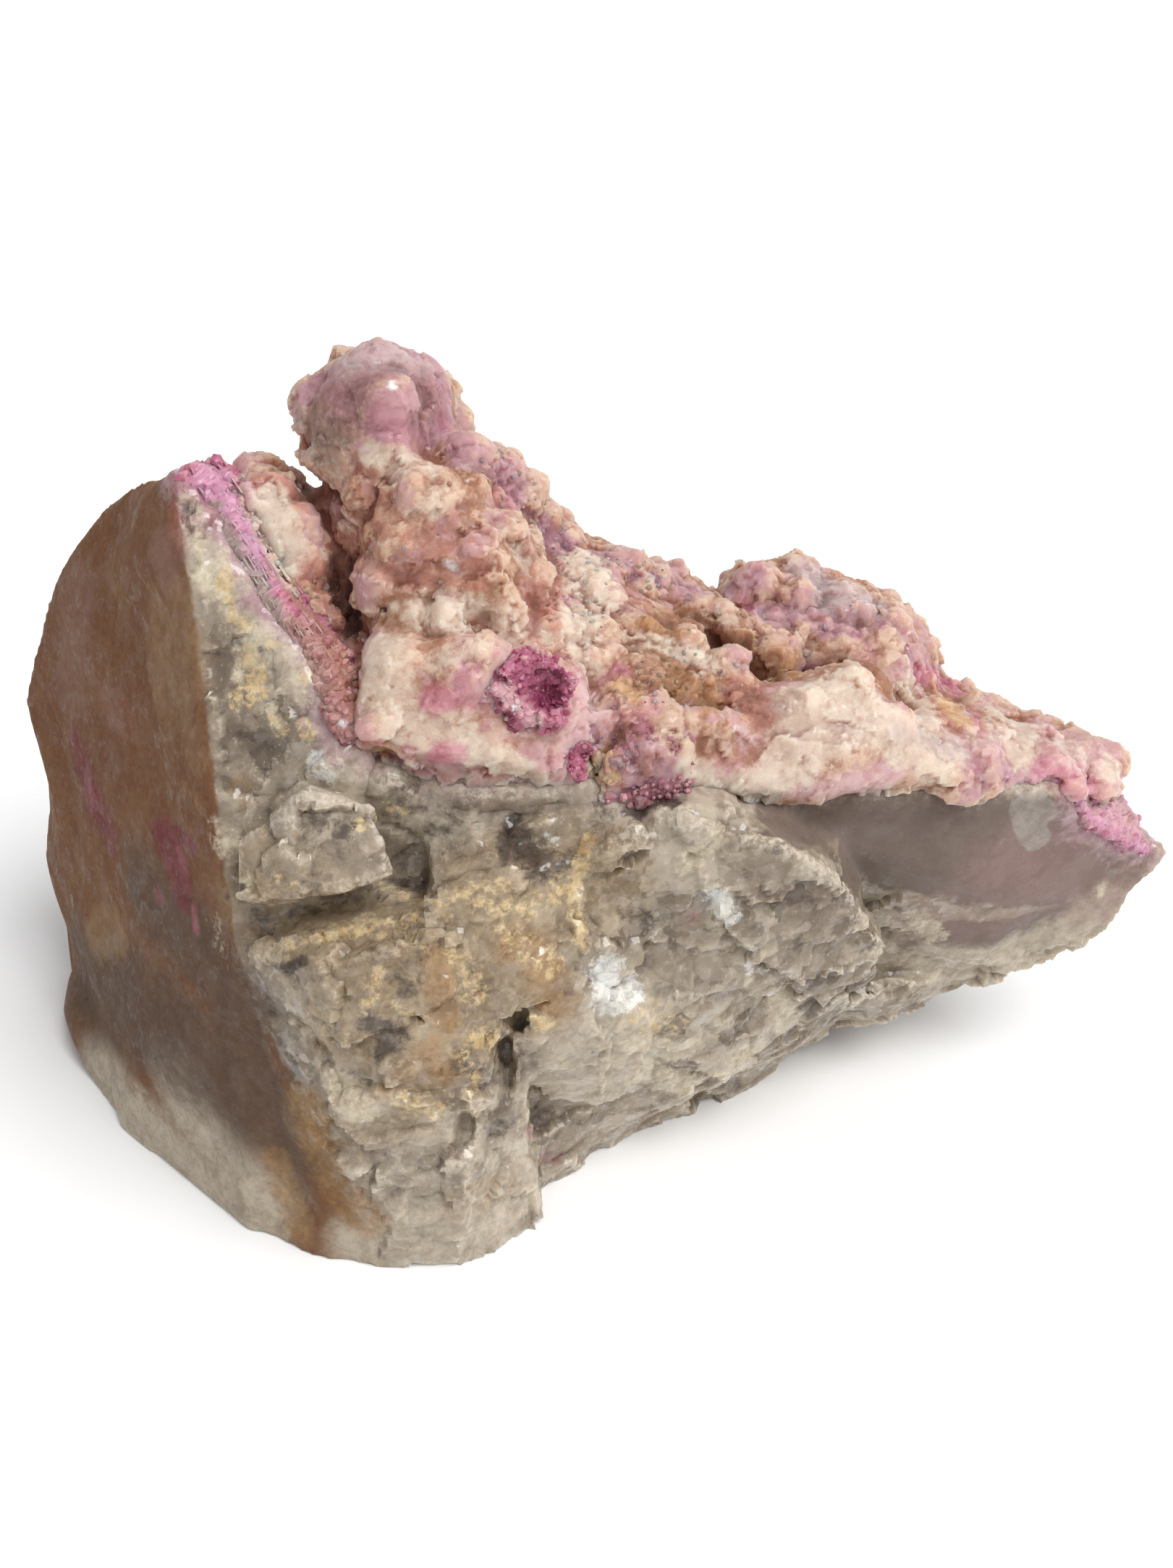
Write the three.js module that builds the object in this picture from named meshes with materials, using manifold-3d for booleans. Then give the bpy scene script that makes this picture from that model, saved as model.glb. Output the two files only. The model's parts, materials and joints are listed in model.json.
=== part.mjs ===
// Pink tourmaline and a druse of feldspar and quartz crystals on a broken block of smoky quartz.
// Units are millimetres and +Z is up. The block stands on a flat break. Its tall end wall is on
// the left (-X), its broken front faces -Y, and it tapers to a low prow on the right (+X).
// The druse covers the sloping top from the seam at the front to the back edge.
import * as THREE from "three";
import { ConvexGeometry } from "three/addons/geometries/ConvexGeometry.js";
import { TessellateModifier } from "three/addons/modifiers/TessellateModifier.js";
import { mergeVertices } from "three/addons/utils/BufferGeometryUtils.js";
import Module from "manifold-3d";

const wasm = await Module();
wasm.setup();

// ---------------------------------------------------------------- driving dimensions

const SEAM_GAP = 0.3; // between two minerals that meet
const WELD = 1e-3; // vertices closer than this are one
const GRID = 0.01; // the finished corners lie on this grid

// How each mineral breaks: longest facet edge, size of one break plane, and its steepness
const QUARTZ_BREAK = { edge: 10.5, plane: 10, steepness: 0.15 };
const DRUSE_BREAK = { edge: 9, plane: 6, steepness: 0.2 };

// Small feldspar blocks over the druse: distance between them, and the range of their widths
const FELDSPAR = { spacing: 6.4, width: [3, 4.6], sunk: 0.3 };

const RIM = { thickness: 3, fibres: 2, fibreWidth: 2.2 };
const NEST = { at: [-5.2, -9.6, 54.8], reach: [3, 3.7], crystals: 10, length: 3.7, width: 2.3 };
const EYE = { at: [-0.8, -9.6, 48], reach: [1.1, 1.3], crystals: 4, length: 2.8, width: 1.4 };

// ---------------------------------------------------------------- outlines of the lumps
// Each lump is the hull of its corners: [x, y, z].

const QUARTZ_LUMPS = {
  endWall: [
    [-35.5, 4, 68], [-36.5, 7, 67], [-40, 11, 63.8], [-45.2, 16, 58.4], [-49.4, 19, 53.4],
    [-53.4, 21, 49], [-55.2, 21, 43], [-57, 21, 34], [-58, 21, 22], [-57.6, 20, 8], [-57, 19, 0],
    [-36, 1, 65.5], [-34.5, -3, 60.5], [-33.5, -9, 50], [-32.5, -14, 39], [-31, -17, 30],
    [-31, 6, 65.5], [-27.5, 0, 59.5], [-24, -5, 55.5], [-20, -11, 50.5],
    [-20, -14, 40], [-18, -16, 25], [-25, -20, 12],
    [-47, -6, 0], [-32, -20, 0], [-26, -22, 0], [-54, 15, 0],
    [-34, 14, 60], [-40, 28, 44], [-50, 28, 22], [-45, 27, 0], [-16, 24, 48], [-16, 26, 0],
  ],
  endFoot: [
    [-56.4, 14, -1], [-56, 14, 4], [-54.6, 5, 6], [-54.2, 3.6, 3], [-51, 0, -1],
    [-47.8, -4, -1], [-45, -7, -1], [-32, -21, -1], [-26, -24, -1], [-44, -4, 9],
    [-30, -18, 9], [-20, -21, 12], [-20, -25, -1], [-46, 20, -1], [-30, 0, -1], [-50, 16, 10],
  ],
  frontLump: [
    [-20, -25, -1], [-12.5, -24.5, -1], [-8, -23, -1], [-5, -19.5, -1], [-4.6, -13, -1],
    [-30.5, -17.5, 31], [-28.5, -19.5, 20], [-26.5, -19, 34], [-13.5, -20, 38], [-9, -19.5, 37],
    [-22.5, -23, 26], [-16, -25, 24], [-9, -22, 24], [-5.4, -19, 14], [-11, -25.5, 11],
    [-20.5, -25.5, 10], [-26, -22, 6], [-28, -8, 34], [-10, -6, 34], [-28, -6, -1], [-4, -6, -1],
  ],
  shoulder: [
    [-14, -19, 39], [-4, -17.5, 41.3], [-0.5, -17.6, 34], [-2, -18.8, 29], [-7, -20.2, 27],
    [-10, -22, 28], [-13, -22, 33], [-10, -10, 34], [-3, -10, 34],
  ],
  apron: [
    [-14, -18, 40], [-4.5, -17, 41.5], [-0.5, -15.5, 44], [9.5, -13, 44],
    [17, -12, 41], [23, -11, 35.5], [29, -7, 23.5], [29, -4, 18], [23, -2, 11.5],
    [-5, -17.5, 24], [6, -15, 21.5], [-11, -20, 31], [-4.5, -12, -1], [1, -8.2, -1],
    [8, -4.8, -1], [14.5, -1, -1], [18, 3.6, -1], [23, 9, -1], [26, 5, 5],
    [-12, 0, -1], [-12, 0, 40], [20, 4, 40], [24, 12, -1],
  ],
  core: [
    [-20, -12, 46.5], [-10, -12, 45.5], [-3, -10, 44], [1.5, -9, 40.5], [9, -8, 42],
    [15, -7.5, 41.5], [25, -6, 41], [-22, -12, 40], [-20, -10, 2], [-2, -9, -1], [14, 0, -1],
    [-24, 0, 52], [-34, 27, 47], [-20, 27, 48], [0, 27, 44], [22, 25, 40], [30, 20, 40],
    [-44, 27, 12], [-42, 26, -1], [-30, 28, -1], [0, 28.5, -1], [20, 26, -1], [-38, 29, 32],
    [-20, 30, 26], [8, 30, 22], [26, 24, 14],
  ],
  heart: [
    [-42, 20, -1], [-40, -2, -1], [-22, -18, -1], [-8, -17, -1], [1, -4, -1], [18, 8, -1], [16, 22, -1],
    [-36, 14, 45], [-26, -8, 42], [-8, -14, 40], [12, -8, 38], [26, 2, 34], [20, 20, 34], [-20, 22, 44],
  ],
  prow: [
    [10, -8, 42], [25, -6.5, 41.2], [33, -4.5, 40.3], [40.5, -2, 38.8], [46, 0, 37], [51, 2, 31],
    [57, 5, 26.7], [54.5, 5.5, 21.3], [52, 5, 16], [46.5, 5, 12.8], [40.5, 5, 10.8], [34, 5, 7.5],
    [26, 5, 5], [34, -3.5, 30], [44, 0, 25], [20, 20, -1], [22, 10, -1], [40, 14, 9],
    [54, 10, 27], [47, 14, 34], [36, 19, 37], [24, 24, 38], [44, 16, 16], [28, 24, 8],
  ],
  prowLip: [
    [37, 3, 12], [37, 5, 8.8], [34, 5, 6.2], [28.8, 5, 7.4], [26, 5, 5], [25, -1, 11.5],
    [30, -1.5, 15], [34, 10, 9], [24, 10, 6],
  ],
  granularPlate: [
    [8, -14.5, 44.6], [13, -14.2, 43], [17.5, -13.8, 41], [22.6, -12.8, 36], [28.8, -8.5, 25],
    [29, -7.5, 22.5], [20.5, -11, 22.5], [16, -14, 28.5], [12.5, -15, 32], [18, -6, 33], [8, -8, 36],
  ],
  lightPlate: [
    [-5.4, -20, 27], [-5.8, -19.3, 20.5], [-5.2, -17.6, 15.5], [-0.5, -18.5, 29.5],
    [6, -16.6, 23.4], [6.5, -15.4, 16.4], [3.5, -14, 11], [-4, -16, 12.5], [0, -8, 20],
  ],
  upperPlate: [
    [-30.5, -15.5, 42], [-24, -15.5, 47], [-18, -16, 46], [-17, -18, 41], [-22, -19.5, 40.4],
    [-30.8, -18.2, 38.2], [-28, -17, 36.5], [-24, -8, 42], [-18, -14, 38],
  ],
  lowerPlate: [
    [-27.6, -19, 32.6], [-22, -22.5, 34.4], [-16, -22.5, 37.4], [-11.5, -21.5, 36.6],
    [-11.5, -23, 31], [-21, -25, 27], [-27, -20, 28], [-18, -14, 32],
  ],
};

// Slots and hollows broken into the front of the block
const QUARTZ_HOLLOWS = {
  underSeam: [
    [-16, -25, 46.8], [8, -24, 44.2], [-15, -25, 41.6], [-1, -24, 40.4], [7, -22, 42.8],
    [-14, -12.5, 46.8], [6, -10, 44.2], [-11, -15, 42], [-1, -13.5, 41], [5, -11.5, 42.6],
  ],
  leftSlot: [[-22.5, -21, 44.2], [-17.5, -21, 45.8], [-22.5, -21, 45.4], [-17.5, -21, 47], [-20, -12.5, 45.5]],
  leftHole: [[-28.5, -24, 30.2], [-24, -26, 30.6], [-28, -24, 32.4], [-24.6, -26, 32.8], [-26, -14, 31.5]],
  middlePit: [[-9.5, -28, 26], [-6, -28, 25], [-9, -28, 14], [-6.2, -28, 13], [-7, -15, 19], [-7.5, -16, 24]],
  kneeNotch: [[-13, -27, 21], [-9, -27, 22], [-14, -30, 12], [-9, -28, 11], [-11, -22, 16]],
  backStep: [
    [-46, 34, 46], [-24, 36, 50], [2, 36, 47], [-40, 36, 30], [-12, 36, 26], [-36, 26, 46],
    [-20, 26, 50], [-4, 27, 44], [-32, 27.6, 33], [-14, 28, 29],
  ],
  backChip: [
    [-2, 36, 30], [20, 36, 36], [34, 30, 34], [4, 36, 15], [26, 34, 16], [2, 28.6, 26], [20, 25.4, 32],
    [18, 25.8, 22],
  ],
};

const DRUSE_LUMPS = {
  knob: [
    [-26.2, 10, 69.6], [-26.4, 10, 72.2], [-24.8, 10, 74], [-22, 10, 75], [-20.5, 10, 76.6],
    [-18.5, 11, 77.2], [-14.5, 12, 76.6], [-13, 12, 75.6], [-12, 12, 73], [-12, 12, 69.5],
    [-24.5, 8, 66], [-20.5, 3, 73.5], [-16, 2.5, 75], [-15.5, 2, 70], [-21.5, 3, 69], [-24, 16, 72],
    [-18, 19, 73], [-13, 18, 70], [-22, 18, 65], [-11, 16, 64],
  ],
  heap: [
    [-24.5, 9, 64.6], [-23.5, 6, 63], [-22.5, 3, 60], [-21.3, 0, 56], [-20, -3, 52], [-15.5, 1, 70],
    [-15.5, -2.5, 64.5], [-15, -6, 56], [-8.5, 5, 67], [-7, -3, 63.5], [-6, -7, 57], [-10, 12, 66.5],
    [-7, 13, 64.5], [-5, 14, 61.5], [-3.8, 14, 59], [-1.5, 15, 55.5], [-21, 14, 63], [-12, 20, 60],
    [-2, 21, 52], [-22, 19, 50], [-4, 23, 44], [-20, -3, 46], [-3, -6, 46], [0, 4, 46],
  ],
  saddle: [
    [-3.5, 14, 58.2], [-1, 15, 55], [4, 16, 52.2], [7.7, 16, 49.8], [13, 15, 49], [-3, 3, 58.5],
    [0.6, 6, 56], [-1, -2, 56], [3.5, -3, 53.5], [-5, -7, 56.5], [8, 1, 53], [-3, 21, 50],
    [13, 21, 46], [-4, -7, 45], [12, -2, 44], [12, 20, 41], [-4, 22, 43],
  ],
  ridge: [
    [3.5, 0, 54.8], [8, 0, 53.3], [13.7, -1, 50.3], [17, -3, 50.4], [1, -8, 51.5], [6, -9, 50.5],
    [12, -8, 50], [16, -7, 49], [6, 5, 50], [14, 2, 47], [16, 2, 40], [0, -7, 42], [16, -7, 41],
  ],
  backPeak: [
    [13.5, 16, 51.3], [16, 17, 52], [20, 18, 51.8], [23, 18, 50.5], [27, 18, 49.6], [31, 17, 48],
    [33, 16, 46], [34.5, 14, 43.2], [15.5, 10, 51], [21, 8.5, 50], [28, 7, 48.3], [29.5, 4, 47.5],
    [15, 24, 45], [28, 24, 42], [14, 8, 42], [33, 6, 39], [34, 19, 37], [14, 24, 40], [28, 24, 37],
  ],
  massif: [
    [12, -7, 49.9], [18, -4.5, 51], [24, -2.5, 51.6], [27.5, -4, 48.8], [33, -5, 42.4], [9.5, -10, 44.2],
    [22, -9, 44.3], [30, -3.5, 46.6], [14, 3, 46], [26, 6, 47], [12, 4, 40], [32, 6, 38],
    [10, -8.5, 41], [33, -3, 38],
  ],
  tail: [
    [29, -3, 46.5], [36, 9, 41.8], [39, 8, 41], [42.5, 8, 40.3], [45.5, 8, 39.6], [49.5, 7, 37.6],
    [51.5, 6, 37], [51, 3.5, 35.5], [49, 2, 33.5], [33, -5, 41.5], [40, -2.8, 39.6], [46, -0.5, 37.3],
    [34, 14, 41.5], [36, 18, 36], [46, 14, 33], [33, -3, 38], [45, 1, 33], [50, 9, 31],
  ],
  brokenBlock: [
    [-20, -10, 56], [-19.5, -9, 57.5], [-18, -8, 58.3], [-15.5, -9, 58.5], [-10.5, -9.5, 57.4],
    [-7, -9.5, 58.4], [-3, -9, 56.5], [-0.6, -9, 52.7], [0.8, -11, 47.2], [-7, -14, 47.7],
    [-15.5, -14, 49.2], [-19, -13, 52.2], [-18, -2, 55], [-3, -3, 54], [-18, -6, 44], [0, -6, 42],
    [-7, -12.5, 43.5],
  ],
  rimLobes: [
    [-29.5, 3.5, 66], [-26.3, 3, 64.8], [-24.6, 1, 62], [-25.6, 0, 60], [-31.5, 10, 66.4],
    [-30, 11, 66.6], [-28.2, 11, 65.2], [-25.5, 11, 63.5], [-24, 9, 58], [-22.5, 3, 56],
    [-28, 5, 56], [-24, -2, 54], [-31, 14, 58], [-20, 12, 56],
  ],
  cleftFloor: [
    [-24.5, 8, 61.5], [-23, 4, 57.5], [-21, 0, 53.5], [-20, -6, 51], [-24.8, 3, 57.5], [-22.5, -3, 53.8],
    [-18, 8, 60], [-18, -4, 50], [-24, 4, 48], [-18, 4, 46], [-20, -8, 46],
  ],
};

const DRUSE_HOLLOWS = {
  honeyHollow: [[8, 5, 56], [20, 1, 54], [20, 10, 54], [9, 11, 56], [12, 4, 49], [18, 3, 48.5], [17, 8, 48.6]],
  redHollow: [[4, -12, 54], [18, -11, 53], [16, -4, 53], [6, -4, 55], [7, -6.5, 49.6], [14, -5.5, 49.2]],
  backPit: [[19, 4, 54], [24, 3, 53], [23, 9, 54], [20, 9, 54], [21.5, 8.5, 48.6]],
  heapHollow: [[-5.5, 0, 64], [-1, -2, 62], [-2, 6, 63], [-4, -4, 58.5], [-3, 3, 57.4]],
};

// Quartz crystals placed one by one: [x, y, z, width]
const DRUSE_QUARTZ = [
  [-19, 9, 74.4, 5], [-16, 9.6, 73.8, 4.6], [-14.6, 9.6, 71, 4.4], [-17, 5.4, 73.4, 5.4],
  [-21.2, 8.4, 73.2, 5], [-23.6, 10, 71.2, 5], [-22.4, 7, 68.6, 4.8], [-17.6, 5, 69.8, 4.4],
  [-13.6, 8.6, 68.4, 4.4], [-11, 6, 68, 4.6], [-8.4, 8.6, 65.6, 4.4], [-6.2, 10, 62.4, 4.4],
  [-4.6, 11, 59, 4], [-1.8, 11.6, 56.2, 4], [-18.6, 4.4, 66, 4.4], [-14.4, 1.6, 66.6, 5],
  [-11, 2.4, 65.4, 4.6], [-16.4, -0.4, 63.4, 5], [-12.4, -1.6, 61.6, 5.4], [-17.6, -0.6, 59.6, 4.4],
  [-9.2, -0.8, 63, 4.6], [-15.8, -3.4, 56.6, 4.8], [-12, -4, 57.2, 4.6], [-7.4, 1.6, 63.6, 3.8],
  [-5.4, 0.6, 59.4, 3.8], [-3, -2.4, 56, 3.6], [0.4, -1.6, 54.6, 3.2], [4.6, 1.2, 53.6, 3.2],
  [8.4, -0.4, 52.6, 3], [12.6, -1.4, 51, 3], [14, 8.4, 48.8, 4.2], [17.4, 6.2, 48.2, 4.4],
  [11, 9.6, 50, 3.8], [15.4, 13.4, 50, 4.6], [20, 14, 50, 5], [24.8, 13, 48.8, 5], [29, 11.6, 47, 4.8],
  [24, -1.4, 49.6, 3.6], [28.6, -2.6, 46.4, 3.6], [-28.4, 7.4, 64.4, 4.6], [-26, 3.4, 62.6, 4.2],
];

// Stations along the back edge of the end wall: [outer point, inner point] of the magenta rim
const RIM_STATIONS = [
  [[-36.2, 4.4, 68.2], [-33, 6.8, 67.6]],
  [[-33.4, 2.8, 66.6], [-30.6, 5.4, 66]],
  [[-31.3, -0.2, 64.2], [-28.3, 2.4, 62.8]],
  [[-29, -2.7, 61.2], [-26.8, 0.2, 60]],
  [[-27.1, -4.7, 59.6], [-25.2, -1.8, 57.6]],
  [[-24.6, -6.3, 57.5], [-23.2, -3.8, 55.5]],
  [[-22.8, -9.2, 54.3], [-20.4, -7, 53.8]],
  [[-21.2, -11.8, 51.8], [-19.4, -10.4, 50.6]],
];

const TOURMALINE_PATCHES = {
  tourmaline_seam: [
    [1.4, -11.6, 48.6], [4.4, -11, 50.2], [8.8, -10.2, 50], [9.8, -10.8, 46.2], [8.8, -10.6, 42.6],
    [4.5, -11.6, 42.4], [1.6, -12, 43.4], [2.4, -7, 47.4], [8, -6.4, 47.4], [7.4, -7, 43.6],
  ],
  tourmaline_tip: [
    [45.4, 0, 37.2], [47.6, -0.2, 33.8], [51, 1, 31.2], [55, 3.4, 27.8], [53, 5, 32],
    [49.4, 4, 36.4], [46, 3, 38.4], [50, 5, 30.5], [46, 4.4, 34],
  ],
};

// ---------------------------------------------------------------- tools

// A seeded random source, so that every build gives the same stone
function seeded(seed) {
  let state = seed;
  return () => {
    state = (state * 1664525 + 1013904223) % 4294967296;
    return state / 4294967296;
  };
}

const vector = ([x, y, z]) => new THREE.Vector3(x, y, z);
const hull = (corners) => new ConvexGeometry(corners.map(vector));

function toSolid(geometry) {
  const bare = geometry.clone();
  bare.deleteAttribute("normal");
  bare.deleteAttribute("uv");
  const merged = mergeVertices(bare, WELD);
  return new wasm.Manifold(
    new wasm.Mesh({
      numProp: 3,
      vertProperties: merged.attributes.position.array,
      triVerts: new Uint32Array(merged.index.array),
    }),
  );
}

function toGeometry(solid) {
  const { vertProperties, triVerts, numProp } = solid.getMesh();
  const positions = [];
  for (let i = 0; i < vertProperties.length; i += numProp)
    positions.push(vertProperties[i], vertProperties[i + 1], vertProperties[i + 2]);
  const geometry = new THREE.BufferGeometry();
  geometry.setAttribute("position", new THREE.Float32BufferAttribute(positions, 3));
  geometry.setIndex(Array.from(triVerts));
  return geometry;
}

const join = (solids) => solids.reduce((sum, solid) => sum.add(solid));
const cut = (solid, cutters) => cutters.reduce((rest, cutter) => rest.subtract(cutter), solid);

// Moves each vertex along its normal by height(point).
function pushOut(geometry, height) {
  const surface = mergeVertices(geometry, WELD);
  surface.computeVertexNormals();
  const { position, normal } = surface.attributes;
  const point = new THREE.Vector3();
  const outward = new THREE.Vector3();
  for (let i = 0; i < position.count; i++) {
    point.fromBufferAttribute(position, i);
    outward.fromBufferAttribute(normal, i);
    point.addScaledVector(outward, height(point));
    position.setXYZ(i, point.x, point.y, point.z);
  }
  return surface;
}

// The solid with a gap round it, to cut a neighbour with
const socket = (solid) => toSolid(pushOut(toGeometry(solid), () => SEAM_GAP)).add(solid);

// A number from 0 to 1 that belongs to one cell of a grid
function cellNumber(i, j, k, salt) {
  const wave = Math.sin(i * 127.1 + j * 311.7 + k * 74.7 + salt * 19.3) * 43758.5453;
  return wave - Math.floor(wave);
}

// The stone breaks in small planes: each cell has its own tilt, and the height follows that plane.
function breakHeight(point, { plane, steepness }) {
  const cell = point.clone().divideScalar(plane).floor();
  let nearest = Infinity;
  let height = 0;
  for (let i = cell.x - 1; i <= cell.x + 1; i++)
    for (let j = cell.y - 1; j <= cell.y + 1; j++)
      for (let k = cell.z - 1; k <= cell.z + 1; k++) {
        const [a, b, c] = [0, 1, 2].map((salt) => cellNumber(i, j, k, salt));
        const centre = new THREE.Vector3(i + a, j + b, k + c).multiplyScalar(plane);
        const distance = point.distanceTo(centre);
        if (distance < nearest) {
          nearest = distance;
          const tilt = new THREE.Vector3(b - 0.5, c - 0.5, a - 0.5).multiplyScalar(2);
          height = point.clone().sub(centre).dot(tilt) * steepness;
        }
      }
  return height;
}

// One lump with broken faces, from its corners
function lump(corners, finish) {
  const fine = new TessellateModifier(finish.edge, 8).modify(hull(corners));
  fine.deleteAttribute("normal");
  return toSolid(pushOut(fine, (point) => breakHeight(point, finish)));
}

const lumps = (table, finish) => Object.values(table).map((corners) => lump(corners, finish));
const hulls = (table) => Object.values(table).map((corners) => toSolid(hull(corners)));

// A crystal along +Y with a pointed top, its foot at the origin
function crystal(length, width, sides) {
  const profile = [[0, 0], [width / 2, 0], [width / 2, length - width * 0.3], [0, length]];
  return new THREE.LatheGeometry(profile.map(([x, y]) => new THREE.Vector2(x, y)), sides);
}

function placed(geometry, at, along, turn) {
  const aim = new THREE.Quaternion().setFromUnitVectors(new THREE.Vector3(0, 1, 0), along);
  return toSolid(geometry.clone().rotateY(turn).applyQuaternion(aim).translate(at.x, at.y, at.z));
}

// Face centres of a solid with their normals, in random order, no two closer than spacing
function growthPoints(solid, spacing, accept, random) {
  const faces = toGeometry(solid).toNonIndexed().attributes.position;
  const spots = [];
  for (let i = 0; i < faces.count; i += 3) {
    const [a, b, c] = [0, 1, 2].map((n) => new THREE.Vector3().fromBufferAttribute(faces, i + n));
    const at = a.clone().add(b).add(c).divideScalar(3);
    const normal = b.clone().sub(a).cross(c.clone().sub(a)).normalize();
    spots.push({ at, normal, order: random() });
  }
  spots.sort((p, q) => p.order - q.order);
  const kept = [];
  for (const spot of spots)
    if (accept(spot) && kept.every(({ at }) => at.distanceTo(spot.at) > spacing)) kept.push(spot);
  return kept;
}

function leaning(direction, random, lean) {
  const side = new THREE.Vector3(random() - 0.5, random() - 0.5, random() - 0.5);
  return direction.clone().addScaledVector(side, lean).normalize();
}

// ---------------------------------------------------------------- the minerals

function druse() {
  const random = seeded(7);
  const bed = cut(join(lumps(DRUSE_LUMPS, DRUSE_BREAK)), hulls(DRUSE_HOLLOWS));

  const upFront = new THREE.Vector3(0.15, -0.6, 0.75).normalize();
  const points = DRUSE_QUARTZ.map(([x, y, z, width]) => {
    const along = leaning(upFront, random, 1.4);
    const foot = new THREE.Vector3(x, y, z).addScaledVector(along, -width * 0.6);
    return placed(crystal(width * 1.4, width, 6), foot, along, random() * 6);
  });

  // The broken faces along the seam carry none.
  const free = ({ at, normal }) =>
    normal.z > 0 && at.y - at.z * 0.3 > -20 &&
    DRUSE_QUARTZ.every((other) => vector(other).distanceTo(at) > FELDSPAR.spacing);
  const [least, most] = FELDSPAR.width;
  const blocks = growthPoints(bed, FELDSPAR.spacing, free, random).map(({ at, normal }) => {
    const width = least + random() * (most - least);
    const block = new THREE.BoxGeometry(width, width * 0.9, width * 1.2);
    const centre = at.clone().addScaledVector(normal, -width * FELDSPAR.sunk);
    return placed(block, centre, leaning(normal, random, 1.6), random() * 6);
  });
  return join([bed, ...points, ...blocks]);
}

// A strip of the wall's edge, ribbed by fibres that run along it
function tourmalineRim() {
  const down = new THREE.Vector3(0.35, 0.25, -1).normalize().multiplyScalar(RIM.thickness);
  const pieces = [];
  for (let i = 1; i < RIM_STATIONS.length; i++) {
    const [outer, inner] = RIM_STATIONS[i - 1].map(vector);
    const [nextOuter, nextInner] = RIM_STATIONS[i].map(vector);
    const top = [outer, inner, nextOuter, nextInner];
    pieces.push(toSolid(new ConvexGeometry([...top, ...top.map((p) => p.clone().add(down))])));
    for (let n = 0; n < RIM.fibres; n++) {
      const across = (n + 0.5) / RIM.fibres;
      const foot = outer.clone().lerp(inner, across);
      const reach = nextOuter.clone().lerp(nextInner, across).sub(foot);
      const fibre = crystal(reach.length() * 1.1, RIM.fibreWidth, 3);
      pieces.push(placed(fibre, foot, reach.normalize(), n));
    }
  }
  return join(pieces);
}

// Short crystals that spread from one root and point out of the front
function tourmalineSpray({ at, reach, crystals, length, width }, random) {
  const root = toSolid(new THREE.IcosahedronGeometry(1, 0).scale(reach[0], length * 0.5, reach[1]).translate(...at));
  const pieces = [root];
  for (let n = 0; n < crystals; n++) {
    const angle = n * 2.4;
    const out = Math.sqrt((n + 0.5) / crystals);
    const side = new THREE.Vector3(Math.cos(angle) * out * reach[0], 0, Math.sin(angle) * out * reach[1]);
    const foot = vector(at).addScaledVector(side, 0.75);
    const along = new THREE.Vector3(0, -1, 0.1).addScaledVector(side, 0.1);
    const shape = crystal(length * (0.75 + random() * 0.4), width, 6);
    pieces.push(placed(shape, foot, leaning(along, random, 0.5), random() * 6));
  }
  return join(pieces);
}

const random = seeded(21);
const tourmalines = {
  tourmaline_rim: tourmalineRim(),
  tourmaline_nest: tourmalineSpray(NEST, random),
  tourmaline_eye: tourmalineSpray(EYE, random),
};
for (const [name, corners] of Object.entries(TOURMALINE_PATCHES))
  tourmalines[name] = lump(corners, { edge: 3, plane: 2.5, steepness: 0.25 });
const sockets = Object.values(tourmalines).map(socket);
const ground = toSolid(new THREE.BoxGeometry(200, 200, 20).translate(0, 0, -10));
const block = join(lumps(QUARTZ_LUMPS, QUARTZ_BREAK));
const quartz = cut(block, [ground, ...hulls(QUARTZ_HOLLOWS), ...sockets]);
const crust = cut(druse(), [socket(block), ...sockets]);

// ---------------------------------------------------------------- the specimen

const FINISHES = {
  quartz: new THREE.MeshStandardMaterial({ color: 0x8d8279, roughness: 0.35, metalness: 0 }),
  druse: new THREE.MeshStandardMaterial({ color: 0xd9b8a4, roughness: 0.45, metalness: 0 }),
  tourmaline: new THREE.MeshStandardMaterial({ color: 0xb34a8c, roughness: 0.35, metalness: 0 }),
};

const specimen = new THREE.Group();

const onGrid = (value) => Math.round(value / GRID) * GRID;

// The largest body of a solid with its corners on the grid: a cut can leave loose crumbs behind.
function settled(solid) {
  const rough = toGeometry(solid);
  rough.attributes.position.array.forEach((value, i, array) => (array[i] = onGrid(value)));
  const [body] = toSolid(rough).decompose().sort((a, b) => b.volume() - a.volume());
  return body;
}

// Corners that meet on the grid can set more crumbs free, so it is done twice.
function addPiece(name, solid, finish) {
  const mesh = new THREE.Mesh(toGeometry(settled(settled(solid))), finish);
  mesh.name = name;
  specimen.add(mesh);
}

addPiece("quartz_block", quartz, FINISHES.quartz);
addPiece("crystal_crust", crust, FINISHES.druse);
for (const [name, solid] of Object.entries(tourmalines)) addPiece(name, solid, FINISHES.tourmaline);

// The origin is the middle of the footprint box, on the resting face.
const box = new THREE.Box3().setFromObject(specimen);
const middle = box.getCenter(new THREE.Vector3());
specimen.position.set(-onGrid(middle.x), -onGrid(middle.y), -box.min.z);

export default specimen;
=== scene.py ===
import json
import math

import bpy
import numpy as np
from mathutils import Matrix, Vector
from mathutils.bvhtree import BVHTree

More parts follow.
